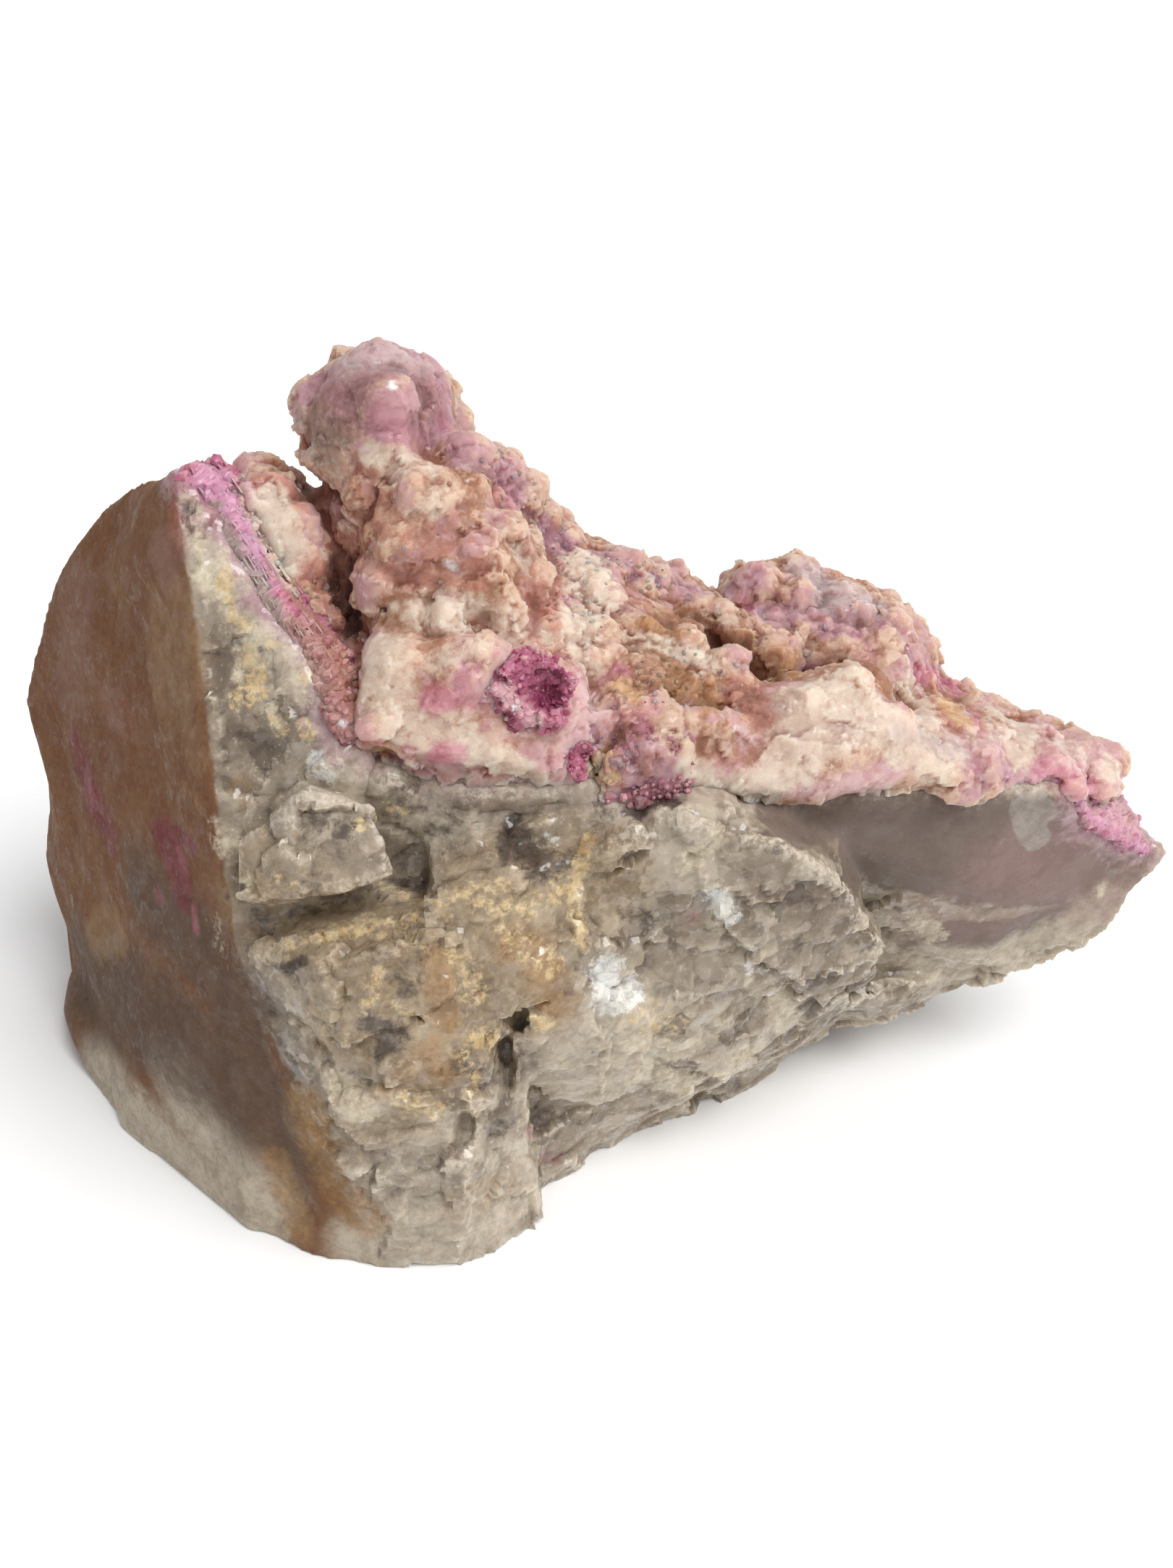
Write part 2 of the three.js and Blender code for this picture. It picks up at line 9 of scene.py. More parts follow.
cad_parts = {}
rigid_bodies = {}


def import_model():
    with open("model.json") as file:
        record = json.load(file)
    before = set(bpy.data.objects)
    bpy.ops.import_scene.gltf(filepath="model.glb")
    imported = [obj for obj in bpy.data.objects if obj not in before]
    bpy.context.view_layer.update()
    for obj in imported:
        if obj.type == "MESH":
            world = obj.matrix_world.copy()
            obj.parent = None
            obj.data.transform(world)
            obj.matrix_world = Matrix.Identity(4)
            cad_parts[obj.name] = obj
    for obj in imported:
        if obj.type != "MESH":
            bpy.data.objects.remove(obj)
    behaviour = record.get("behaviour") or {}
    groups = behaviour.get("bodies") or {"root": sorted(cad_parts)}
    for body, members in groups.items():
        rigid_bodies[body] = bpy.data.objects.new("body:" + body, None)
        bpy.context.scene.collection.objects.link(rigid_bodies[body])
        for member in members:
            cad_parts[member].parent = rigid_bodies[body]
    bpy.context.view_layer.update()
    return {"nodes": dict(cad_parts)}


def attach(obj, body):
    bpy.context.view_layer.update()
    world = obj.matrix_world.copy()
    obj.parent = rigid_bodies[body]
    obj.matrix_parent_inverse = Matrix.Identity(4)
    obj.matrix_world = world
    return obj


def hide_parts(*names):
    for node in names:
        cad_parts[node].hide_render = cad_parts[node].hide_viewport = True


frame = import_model()
mm = 0.001  # every size below is in millimetres
print("stage: frame loaded")


# ---- small helpers for objects

def deselectAll():
    bpy.ops.object.select_all(action="DESELECT")
    bpy.context.view_layer.objects.active = None


def activate(piece):  # the one selected object
    deselectAll()
    piece.select_set(True)
    bpy.context.view_layer.objects.active = piece


def applyModifier(piece, kind, **settings):
    activate(piece)
    added = piece.modifiers.new(kind.lower(), kind)
    for key, value in settings.items():
        setattr(added, key, value)
    bpy.ops.object.modifier_apply(modifier=added.name)


def remesh(piece, voxel):
    applyModifier(piece, "REMESH", mode="VOXEL", voxel_size=voxel * mm)


def applyNodes(piece, tree, fields, **values):  # a geometry node group used once, then applied
    activate(piece)
    added = piece.modifiers.new(tree.name, "NODES")
    added.node_group = tree
    for item in tree.interface.items_tree:
        if item.in_out == "INPUT" and item.name in values:
            added[item.identifier] = values[item.name]
        if item.in_out == "INPUT" and item.name in fields:
            added[item.identifier + "_use_attribute"] = True
            added[item.identifier + "_attribute_name"] = fields[item.name]
    bpy.ops.object.modifier_apply(modifier=added.name)


def copyNode(nodeName, pieceName):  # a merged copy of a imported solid, to be worked on
    piece = bpy.data.objects.new(pieceName, frame["nodes"][nodeName].data.copy())
    bpy.context.scene.collection.objects.link(piece)
    piece.data.materials.clear()
    activate(piece)
    bpy.ops.object.mode_set(mode="EDIT")
    bpy.ops.mesh.select_all(action="SELECT")
    bpy.ops.mesh.remove_doubles(threshold=0.002 * mm)
    bpy.ops.mesh.customdata_custom_splitnormals_clear()
    bpy.ops.object.mode_set(mode="OBJECT")
    return piece


def joinInto(piece, *others):
    deselectAll()
    for other in (*others, piece):
        other.select_set(True)
    bpy.context.view_layer.objects.active = piece
    bpy.ops.object.join()


def smoothByAngle(piece, degrees):
    activate(piece)
    bpy.ops.object.shade_smooth_by_angle(angle=math.radians(degrees))


def finishPiece(piece, material, replaced):
    piece.data.materials.clear()
    piece.data.materials.append(material)
    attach(piece, "root")
    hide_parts(replaced)
    print("stage:", piece.name, sum(len(p.vertices) - 2 for p in piece.data.polygons), "triangles")


def readAll(items, key, width):  # one value or vector of every item
    flat = np.empty(len(items) * width, np.float32)
    items.foreach_get(key, flat)
    return flat.reshape(-1, width)


def readPlaces(piece):  # vertex places in millimetres
    return readAll(piece.data.vertices, "co", 3).astype(float) / mm


def readNormals(piece):
    return readAll(piece.data.vertices, "normal", 3)


def readLayer(piece, name):
    return readAll(piece.data.attributes[name].data, "value", 1)[:, 0].astype(float)


def writePlaces(piece, places):
    piece.data.vertices.foreach_set("co", (places * mm).astype(np.float32).ravel())
    piece.data.update()


def writeLayer(piece, name, values):  # an attribute with one value for each vertex, or one for all of them
    layer = piece.data.attributes.get(name) or piece.data.attributes.new(name, "FLOAT", "POINT")
    layer.data.foreach_set("value", np.broadcast_to(values, len(layer.data)).astype(np.float32))


def strokeWeight(places, radius, points):  # 1 along the stroke, fading to 0 outside it
    nearest = np.full(len(places), 1e9)
    points = np.array(points, float)
    for start, end in zip(points, points[1:] if len(points) > 1 else points):
        along = end - start
        share = np.clip((places - start) @ along / max(along @ along, 1e-9), 0, 1)
        nearest = np.minimum(nearest, np.linalg.norm(places - start - share[:, None] * along, axis=1))
    fade = np.clip((1.6 * radius - nearest) / (1.2 * radius), 0, 1)
    return fade * fade * (3 - 2 * fade)


def paint(piece, strokes):  # one soft mask attribute for each kind of stroke
    places = readPlaces(piece)
    for kind, lines in strokes.items():
        masks = [strength * strokeWeight(places, radius, points) for radius, strength, *points in lines]
        writeLayer(piece, kind, np.max(masks, axis=0))


def softPlaces(piece, rounds):  # where the vertices would lie on a worn surface
    mesh = piece.data
    soft = readPlaces(piece)
    ends = np.empty(len(mesh.edges) * 2, np.int64)
    mesh.edges.foreach_get("vertices", ends)
    first, second = ends.reshape(-1, 2).T
    count = len(soft)
    neighbours = np.maximum(np.bincount(ends, minlength=count), 1)
    for turn in range(rounds):
        for axis in range(3):
            total = np.bincount(first, soft[second, axis], count)
            total += np.bincount(second, soft[first, axis], count)
            soft[:, axis] = 0.5 * soft[:, axis] + 0.5 * total / neighbours
    return soft


def wearDown(piece, weight, rounds):
    places = readPlaces(piece)
    writePlaces(piece, places + weight[:, None] * (softPlaces(piece, rounds) - places))


def measureCrest(piece, layerName, rounds, reach):  # 1 on humps and edges, 0 in creases, 0.5 on flat ground
    height = ((readPlaces(piece) - softPlaces(piece, rounds)) * readNormals(piece)).sum(1)
    writeLayer(piece, layerName, np.clip(0.5 + height / (2 * reach), 0, 1))


def swell(piece, amount):  # closes the hairline gap to the neighbours
    writePlaces(piece, readPlaces(piece) + np.reshape(amount, (-1, 1)) * readNormals(piece))


def nearness(piece, others, reach):  # 1 on the surface of the others, 0 beyond the reach
    graph = bpy.context.evaluated_depsgraph_get()
    surfaces = [BVHTree.FromObject(other, graph) for other in others]
    values = np.zeros(len(piece.data.vertices))
    for index, place in enumerate(readPlaces(piece)):
        for surface in surfaces:
            distance = surface.find_nearest(Vector(place * mm), reach * mm)[3]
            if distance is not None:
                values[index] = max(values[index], 1 - distance / (reach * mm))
    return values


def pressFlat(piece, centre, outward, level, hollow, radius):  # pushes a lump down to a shallow bowl
    places = readPlaces(piece)
    outward = np.array(outward) / np.linalg.norm(outward)
    away = places - np.array(centre)
    height = away @ outward
    spread = np.linalg.norm(away - height[:, None] * outward, axis=1)
    limit = level - hollow * np.clip(1 - (spread / radius) ** 2, 0, 1)
    drop = np.where(height > limit, (height - limit) * 0.85, 0)
    writePlaces(piece, places - drop[:, None] * outward)


# ---- small helpers for nodes

def addNode(tree, kind, inputs=None, **settings):
    made = tree.nodes.new(kind)
    for key, value in settings.items():
        setattr(made, key, value)
    for key, value in (inputs or {}).items():
        if isinstance(value, bpy.types.NodeSocket):
            tree.links.new(value, made.inputs[key])
        else:
            made.inputs[key].default_value = value
    return made.outputs


def newGroup(name, kind, inputs, outputs):  # the names of its sockets stand behind their type
    tree = bpy.data.node_groups.new(name, kind + "NodeTree")
    for side, sockets in (("INPUT", inputs), ("OUTPUT", outputs)):
        for socketType, names in sockets.items():
            for socketName in names.split():
                tree.interface.new_socket(socketName, in_out=side, socket_type="NodeSocket" + socketType)
    return tree, addNode(tree, "NodeGroupInput")


def maths(tree, operation, a, b=0.0, clamp=False):
    return addNode(tree, "ShaderNodeMath", {0: a, 1: b}, operation=operation, use_clamp=clamp)[0]


def times(tree, *values):
    product = values[0]
    for value in values[1:]:
        product = maths(tree, "MULTIPLY", product, value)
    return product


def mixOf(tree, *parts):  # the weighted sum of several values
    total = maths(tree, "MULTIPLY", *parts[0])
    for value, weight in parts[1:]:
        total = addNode(tree, "ShaderNodeMath", {0: value, 1: weight, 2: total}, operation="MULTIPLY_ADD")[0]
    return total


def vectorMaths(tree, operation, a, b):
    key = 3 if operation == "SCALE" else 1
    made = addNode(tree, "ShaderNodeVectorMath", {0: a, key: b}, operation=operation)
    return made[1] if operation == "DOT_PRODUCT" else made[0]


def fadeBetween(tree, value, low, high):
    inputs = {0: value, 1: low, 2: high, 3: 0.0, 4: 1.0}
    return addNode(tree, "ShaderNodeMapRange", inputs, interpolation_type="SMOOTHSTEP")[0]


def noise(tree, place, size, detail=3.0, roughness=0.55, distortion=0.0, output=0):
    inputs = {"Vector": place, "Scale": 1 / size, "Detail": detail}
    inputs.update({"Roughness": roughness, "Distortion": distortion})
    return addNode(tree, "ShaderNodeTexNoise", inputs)[output]


def warpPlace(tree, place, size, reach, detail=2.0):
    wobble = vectorMaths(tree, "SUBTRACT", noise(tree, place, size, detail, output=1), (0.5, 0.5, 0.5))
    return vectorMaths(tree, "ADD", place, vectorMaths(tree, "SCALE", wobble, reach))


def tiltedCells(tree, place, size):  # cells of one size, a random tilt for each, and their tilted planes
    scaled = vectorMaths(tree, "SCALE", place, maths(tree, "DIVIDE", 1.0, size))
    cells = addNode(tree, "ShaderNodeTexVoronoi", {"Vector": scaled, "Scale": 1.0})
    away = vectorMaths(tree, "SUBTRACT", scaled, cells["Position"])
    tilt = vectorMaths(tree, "SUBTRACT", cells["Color"], (0.5, 0.5, 0.5))
    return cells, tilt, vectorMaths(tree, "DOT_PRODUCT", away, tilt)


# ---- geometry node groups

def groupPlace(tree):
    return vectorMaths(tree, "SCALE", addNode(tree, "GeometryNodeInputPosition")[0], 1 / mm)


def closeRelief(tree, given, height):  # lifts the surface by a height in millimetres
    normal = addNode(tree, "GeometryNodeInputNormal")[0]
    offset = vectorMaths(tree, "SCALE", normal, times(tree, height, given["amount"], mm))
    moved = addNode(tree, "GeometryNodeSetPosition", {"Geometry": given["Geometry"], "Offset": offset})
    addNode(tree, "NodeGroupOutput", {"Geometry": moved[0]})
    return tree


def makeFacetGroup():  # breaks a surface into small tilted planes, one for each cell
    sockets = {"Geometry": "Geometry", "Float": "size steepness step warp amount", "Vector": "stretch"}
    tree, given = newGroup("brokenFacets", "Geometry", sockets, {"Geometry": "Geometry"})
    warped = warpPlace(tree, groupPlace(tree), 4.0, given["warp"], 3.0)
    stretched = vectorMaths(tree, "MULTIPLY", warped, given["stretch"])
    cells, tilt, plane = tiltedCells(tree, stretched, given["size"])
    turned = vectorMaths(tree, "DOT_PRODUCT", tilt, (0.4, 0.7, 0.6))
    lean = times(tree, plane, given["steepness"], given["size"])
    return closeRelief(tree, given, maths(tree, "ADD", lean, times(tree, turned, given["step"])))


def makeLumpGroup():  # raises a rounded lump in each cell
    sockets = {"Geometry": "Geometry", "Float": "size height warp amount"}
    tree, given = newGroup("roundedLumps", "Geometry", sockets, {"Geometry": "Geometry"})
    warped = warpPlace(tree, groupPlace(tree), 2.5, given["warp"], 3.0)
    distance = tiltedCells(tree, warped, given["size"])[0]["Distance"]
    dome = maths(tree, "SUBTRACT", 0.45, times(tree, distance, distance))
    return closeRelief(tree, given, times(tree, dome, given["height"]))


def makeGrowthGroup():  # grows copies of the crystals in a collection all over a surface
    tree, given = newGroup("crystalGrowth", "Geometry", {
        "Geometry": "Geometry", "Collection": "crystals", "Int": "seed", "Vector": "along", "Bool": "aligned",
        "Float": "spacing density smallest largest tilt sink",
    }, {"Geometry": "Geometry"})

    def draw(kind, low, high, offset):  # a random value for each point
        first, output = {"FLOAT_VECTOR": (0, 0), "FLOAT": (2, 1), "INT": (4, 2)}[kind]
        inputs = {first: low, first + 1: high, "Seed": maths(tree, "ADD", given["seed"], offset)}
        return addNode(tree, "FunctionNodeRandomValue", inputs, data_type=kind)[output]

    def joined(x, y, z):
        return addNode(tree, "ShaderNodeCombineXYZ", {0: x, 1: y, 2: z})[0]

    spread = addNode(tree, "GeometryNodeDistributePointsOnFaces", {
        "Mesh": given["Geometry"], "Distance Min": times(tree, given["spacing"], mm), "Density Max": 4e6,
        "Density Factor": given["density"], "Seed": given["seed"],
    }, distribute_method="POISSON")
    turn = draw("FLOAT_VECTOR", (-1, -1, -3.14), (1, 1, 3.14), 11)
    leanBy = vectorMaths(tree, "MULTIPLY", turn, joined(given["tilt"], given["tilt"], 1.0))
    toAlong = addNode(tree, "FunctionNodeAlignRotationToVector", {"Vector": given["along"]}, axis="Z")[0]
    chosen = {0: given["aligned"], 1: spread["Rotation"], 2: toAlong}
    chosen = addNode(tree, "GeometryNodeSwitch", chosen, input_type="ROTATION")[0]
    lean = addNode(tree, "FunctionNodeEulerToRotation", {0: leanBy})[0]
    turned = addNode(tree, "FunctionNodeRotateRotation", {0: chosen, 1: lean}, rotation_space="LOCAL")[0]
    share = draw("FLOAT", 0.0, 1.0, 23)
    extra = times(tree, share, share, maths(tree, "SUBTRACT", given["largest"], given["smallest"]))
    width = maths(tree, "ADD", given["smallest"], extra)
    width = times(tree, width, mm)
    toned = {"Geometry": spread["Points"], "Name": "tone", "Value": draw("FLOAT", 0.0, 1.0, 37)}
    toned = addNode(tree, "GeometryNodeStoreNamedAttribute", toned, data_type="FLOAT", domain="POINT")[0]
    drop = vectorMaths(tree, "SCALE", spread["Normal"], times(tree, given["sink"], width, -1.0))
    sunk = addNode(tree, "GeometryNodeSetPosition", {"Geometry": toned, "Offset": drop})[0]
    picked = {"Collection": given["crystals"], "Separate Children": True, "Reset Children": True}
    placed = addNode(tree, "GeometryNodeInstanceOnPoints", {
        "Points": sunk, "Instance": addNode(tree, "GeometryNodeCollectionInfo", picked)[0],
        "Pick Instance": True, "Instance Index": draw("INT", 0, 97, 41), "Rotation": turned,
        "Scale": joined(width, width, width),
    })
    solid = addNode(tree, "GeometryNodeRealizeInstances", {"Geometry": placed[0]})[0]
    addNode(tree, "NodeGroupOutput", {"Geometry": solid})
    return tree


facetGroup = makeFacetGroup()
lumpGroup = makeLumpGroup()
growthGroup = makeGrowthGroup()
print("stage: node groups made")


# ---- camera, light and floor

camera = {"aim": (0.54, -2.35, 38.0), "distance": 205.0, "elevation": 34.0, "nearest": 10.0}
climb = math.radians(camera["elevation"])
back = Vector((0, -math.cos(climb), math.sin(climb)))
stand = (Vector(camera["aim"]) + back * camera["distance"]) * mm
bpy.ops.object.camera_add(location=stand, rotation=(math.pi / 2 - climb, 0, 0))
bpy.context.scene.camera = bpy.context.object
bpy.context.object.data.clip_start = camera["nearest"] * mm

studio = {
    "floorSize": 12.0,
    "floorColour": (0.93, 0.93, 0.93),
    "floorRoughness": 0.95,
    "skyShade": 0.16,
    "skyBright": 0.70,
    "skySide": (0.75, -0.15, 0.65),
    "keyStrength": 2.5,
    "keyAngle": 38.0,
    "keyFrom": (0.5, -0.42, 1.0),
    "keyPlace": (0.3, -0.25, 0.6),
}
deselectAll()
bpy.ops.mesh.primitive_plane_add(size=studio["floorSize"], location=(0, 0, 0))
floor = bpy.context.object
floor.name = "floor"
floorPaper = bpy.data.materials.new("palePaper")
floorPaper.use_nodes = True
paperShader = floorPaper.node_tree.nodes["Principled BSDF"]
paperShader.inputs["Base Color"].default_value = (*studio["floorColour"], 1)
paperShader.inputs["Roughness"].default_value = studio["floorRoughness"]
floor.data.materials.append(floorPaper)
bpy.ops.object.light_add(type="SUN", location=studio["keyPlace"])
key = bpy.context.object
key.data.energy = studio["keyStrength"]
key.data.angle = math.radians(studio["keyAngle"])
key.rotation_euler = Vector(studio["keyFrom"]).to_track_quat("Z", "Y").to_euler()
sky = bpy.data.worlds.new("softRoom")
sky.use_nodes = True
skyTree = sky.node_tree
around = addNode(skyTree, "ShaderNodeTexCoord")["Generated"]
side = vectorMaths(skyTree, "DOT_PRODUCT", around, studio["skySide"])
side = fadeBetween(skyTree, side, -0.9, 0.9)
glow = mixOf(skyTree, (side, studio["skyBright"] - studio["skyShade"]), (1.0, studio["skyShade"]))
skyTree.links.new(glow, skyTree.nodes["Background"].inputs["Strength"])
skyTree.nodes["Background"].inputs["Color"].default_value = (1, 1, 1, 1)
bpy.context.scene.world = sky
bpy.context.scene.view_settings.view_transform = "Standard"
print("stage: camera, light and floor")


# ---- materials

def makeStainGroup():  # breaks the soft edge of a painted wash (a stain, a painted glint or painted shade) into grains and wisps
    sockets = {"Float": "wisps mask ragged sharp"}
    tree, given = newGroup("brokenStain", "Shader", sockets, {"Float": "mask"})
    raised = mixOf(tree, (given["wisps"], given["ragged"]), (given["ragged"], -0.5), (given["mask"], 1.0))
    low = maths(tree, "SUBTRACT", 0.5, given["sharp"])
    high = maths(tree, "ADD", 0.5, given["sharp"])
    present = fadeBetween(tree, given["mask"], 0.02, 0.3)
    addNode(tree, "NodeGroupOutput", {"mask": times(tree, fadeBetween(tree, raised, low, high), present)})
    return tree


def makeGlintGroup():  # tiny flat faces: a height for the bump, a shade for each, and a share of clear ones
    sockets = {"Vector": "place", "Float": "size share"}
    tree, given = newGroup("grainFaces", "Shader", sockets, {"Float": "height clear shade"})
    cells, tilt, plane = tiltedCells(tree, given["place"], given["size"])
    shade = vectorMaths(tree, "DOT_PRODUCT", cells["Color"], (0.33, 0.33, 0.34))
    drawn = addNode(tree, "ShaderNodeSeparateColor", {0: cells["Color"]})[0]
    clear = maths(tree, "GREATER_THAN", drawn, maths(tree, "SUBTRACT", 1.0, given["share"]))
    addNode(tree, "NodeGroupOutput", {"height": plane, "clear": clear, "shade": shade})
    return tree


stainGroup = makeStainGroup()
glintGroup = makeGlintGroup()


def newMaterial(name):  # with its places in millimetres
    made = bpy.data.materials.new(name)
    made.use_nodes = True
    tree = made.node_tree
    return made, tree, vectorMaths(tree, "SCALE", addNode(tree, "ShaderNodeTexCoord")["Object"], 1 / mm)


def layerOf(tree, name):
    return addNode(tree, "ShaderNodeAttribute", attribute_name=name)["Fac"]


def facesOf(tree, place, size, share):
    inputs = {"place": place, "size": size, "share": share}
    return addNode(tree, "ShaderNodeGroup", inputs, node_tree=glintGroup)


def mixColour(tree, factor, a, b):
    a, b = (value if isinstance(value, bpy.types.NodeSocket) else (*value, 1) for value in (a, b))
    return addNode(tree, "ShaderNodeMix", {0: factor, 6: a, 7: b}, data_type="RGBA")[2]


def washOver(tree, place, colour, washes, shade, held={}):  # one wash over another: stains, painted glints and painted recess shade; a few held back in the painted crease shade
    wisps = {}
    for kind, size, ragged, sharp, strength, low, high in washes:
        if size not in wisps:
            wisps[size] = noise(tree, place, size, 4.5, 0.72, 0.3)
        mask = {"wisps": wisps[size], "mask": layerOf(tree, kind), "ragged": ragged, "sharp": sharp}
        mask = addNode(tree, "ShaderNodeGroup", mask, node_tree=stainGroup)["mask"]
        factor = times(tree, mask, held[kind], strength) if kind in held else times(tree, mask, strength)
        colour = mixColour(tree, factor, colour, mixColour(tree, shade, low, high))
    return colour


def closeMaterial(tree, look, colour, roughness, relief, coat=None):
    shader = tree.nodes["Principled BSDF"]
    tree.links.new(colour, shader.inputs["Base Color"])
    tree.links.new(maths(tree, "ADD", roughness, 0.0, clamp=True), shader.inputs["Roughness"])
    bump = addNode(tree, "ShaderNodeBump", {**look["bump"], "Height": relief})[0]
    tree.links.new(bump, shader.inputs["Normal"])
    if coat is not None:
        tree.links.new(coat, shader.inputs["Coat Weight"])
    for name, value in look["shader"].items():
        shader.inputs[name].default_value = value


quartzLook = {
    # dark smoky tone, also the painted shade in hollows
    "smokeAndCreaseShade": (0.150, 0.116, 0.086),
    "grey": (0.262, 0.211, 0.157),
    "veil": (0.43, 0.365, 0.285),
    # pale colour of chips and specks, also a painted edge highlight on the crests
    "chipsAndEdgeLight": (0.62, 0.56, 0.47),
    "brown": (0.150, 0.062, 0.029),
    "brownPale": (0.196, 0.100, 0.050),
    "fracture": 3.4,
    "plane": 1.3,
    "grain": 0.45,
    "washes": [  # kind, grain in mm, raggedness, softness, strength, dark and light colour
        ("smoky", 3.0, 0.5, 0.10, 1.0, (0.150, 0.111, 0.089), (0.180, 0.136, 0.111)),
        ("pale", 3.0, 1.8, 0.5, 0.8, (0.36, 0.30, 0.23), (0.54, 0.47, 0.37)),
        ("rosy", 3.0, 0.5, 0.7, 0.7, (0.26, 0.155, 0.140), (0.32, 0.200, 0.182)),
        ("inclusion", 1.5, 0.5, 0.15, 0.75, (0.24, 0.205, 0.175), (0.36, 0.32, 0.28)),
        ("shade", 3.0, 1.0, 0.5, 0.9, (0.095, 0.060, 0.042), (0.125, 0.084, 0.060)),
        ("tan", 3.0, 2.0, 0.5, 0.45, (0.30, 0.19, 0.10), (0.38, 0.26, 0.15)),
        ("warm", 3.0, 1.6, 0.6, 0.65, (0.19, 0.128, 0.070), (0.39, 0.29, 0.175)),
        ("haze", 1.5, 2.4, 0.4, 0.7, (0.36, 0.17, 0.23), (0.56, 0.40, 0.42)),
        ("touch", 1.5, 2.6, 0.45, 0.6, (0.34, 0.25, 0.20), (0.56, 0.47, 0.39)),
        ("cream", 1.5, 2.6, 0.3, 0.8, (0.40, 0.33, 0.24), (0.66, 0.59, 0.45)),
        ("amber", 1.5, 2.2, 0.6, 0.7, (0.22, 0.12, 0.05), (0.36, 0.21, 0.09)),
        # darker spots, and painted shade in recesses and pits
        ("darkAndRecessShade", 1.5, 2.4, 0.35, 0.9, (0.045, 0.032, 0.024), (0.10, 0.075, 0.06)),
        ("plum", 1.5, 1.4, 0.55, 0.95, (0.135, 0.030, 0.034), (0.20, 0.062, 0.062)),
        ("magenta", 0.8, 1.8, 0.6, 0.7, (0.24, 0.06, 0.085), (0.40, 0.16, 0.19)),
        ("rust", 0.8, 3.4, 0.35, 0.85, (0.47, 0.32, 0.14), (0.70, 0.56, 0.34)),
        # glassy spots: clear coat, their near-white colour a painted glint
        ("glassAndPaintedGlint", 0.8, 3.2, 0.3, 0.7, (0.50, 0.48, 0.44), (0.86, 0.86, 0.83)),
    ],
    "bump": {"Strength": 0.4, "Distance": 0.35 * mm},
    "shader": {
        "Coat Roughness": 0.08, "Specular IOR Level": 0.2, "IOR": 1.54, "Subsurface Weight": 0.5,
        "Subsurface Radius": (1.0, 0.8, 0.62), "Subsurface Scale": 2.2 * mm,
    },
}


def makeQuartz():
    look = quartzLook
    made, tree, place = newMaterial("smokyQuartz")
    broad = noise(tree, place, 9.0, 4.0)
    medium = noise(tree, place, 2.6, 4.5, 0.68, 0.6)
    fine = noise(tree, place, 0.6, 4.0, 0.7)
    fracture = facesOf(tree, warpPlace(tree, place, 2.0, 3.0), look["fracture"], 0.1)
    plane = facesOf(tree, warpPlace(tree, place, 0.8, 0.9), look["plane"], 0.3)
    grain = facesOf(tree, place, look["grain"], 0.14)
    crest = layerOf(tree, "crest")
    rough = layerOf(tree, "rough")
    brownSkin = layerOf(tree, "brown")
    # the crest lightens ridges and darkens hollows: painted light and shade mixed into the smoky tone
    shades = [(fracture["shade"], 0.42), (plane["shade"], 0.20), (crest, 0.20), (1.0, -0.435)]
    smokeAndCreaseShade = mixOf(tree, (broad, 0.6), (medium, 0.45), *shades)
    colour = mixColour(tree, fadeBetween(tree, smokeAndCreaseShade, 0.32, 0.5), look["smokeAndCreaseShade"], look["grey"])
    colour = mixColour(tree, fadeBetween(tree, smokeAndCreaseShade, 0.46, 0.72), colour, look["veil"])
    # pale on the crests: partly chipped edges, partly a painted edge highlight
    edgeChipsAndHighlight = times(tree, fadeBetween(tree, crest, 0.66, 0.98), fadeBetween(tree, fine, 0.42, 0.6), 0.7)
    colour = mixColour(tree, edgeChipsAndHighlight, colour, look["chipsAndEdgeLight"])
    specks = times(tree, fadeBetween(tree, fine, 0.58, 0.68), 0.4, rough)
    colour = mixColour(tree, specks, colour, look["chipsAndEdgeLight"])
    skin = mixOf(tree, (broad, 0.4), (fine, 0.4), (medium, 0.2))
    brown = mixColour(tree, fadeBetween(tree, skin, 0.4, 0.6), look["brown"], look["brownPale"])
    edge = fadeBetween(tree, mixOf(tree, (brownSkin, 1.0), (medium, 0.8), (1.0, -0.4)), 0.35, 0.65)
    worn = mixOf(tree, (layerOf(tree, "pale"), -0.85), (1.0, 1.0))
    colour = mixColour(tree, times(tree, edge, worn), colour, brown)
    shade = fadeBetween(tree, mixOf(tree, (medium, 0.6), (fine, 0.4)), 0.36, 0.62)
    colour = washOver(tree, place, colour, look["washes"], shade)
    shine = [(grain["clear"], -0.2), (plane["clear"], -0.15)]
    dull = [(layerOf(tree, "rust"), 0.25), (brownSkin, 0.4), (1.0, 0.33)]
    roughness = mixOf(tree, (fine, 0.3), *shine, *dull)
    wet = mixOf(tree, (plane["clear"], 0.7), (grain["clear"], 0.6), (layerOf(tree, "glassAndPaintedGlint"), 0.8))
    wet = maths(tree, "MULTIPLY", wet, rough, clamp=True)
    relief = mixOf(tree, (grain["height"], 0.35), (fine, 0.25), (plane["height"], 1.1))
    relief = times(tree, relief, mixOf(tree, (rough, 0.94), (1.0, 0.06)))
    closeMaterial(tree, look, colour, roughness, relief, wet)
    return made


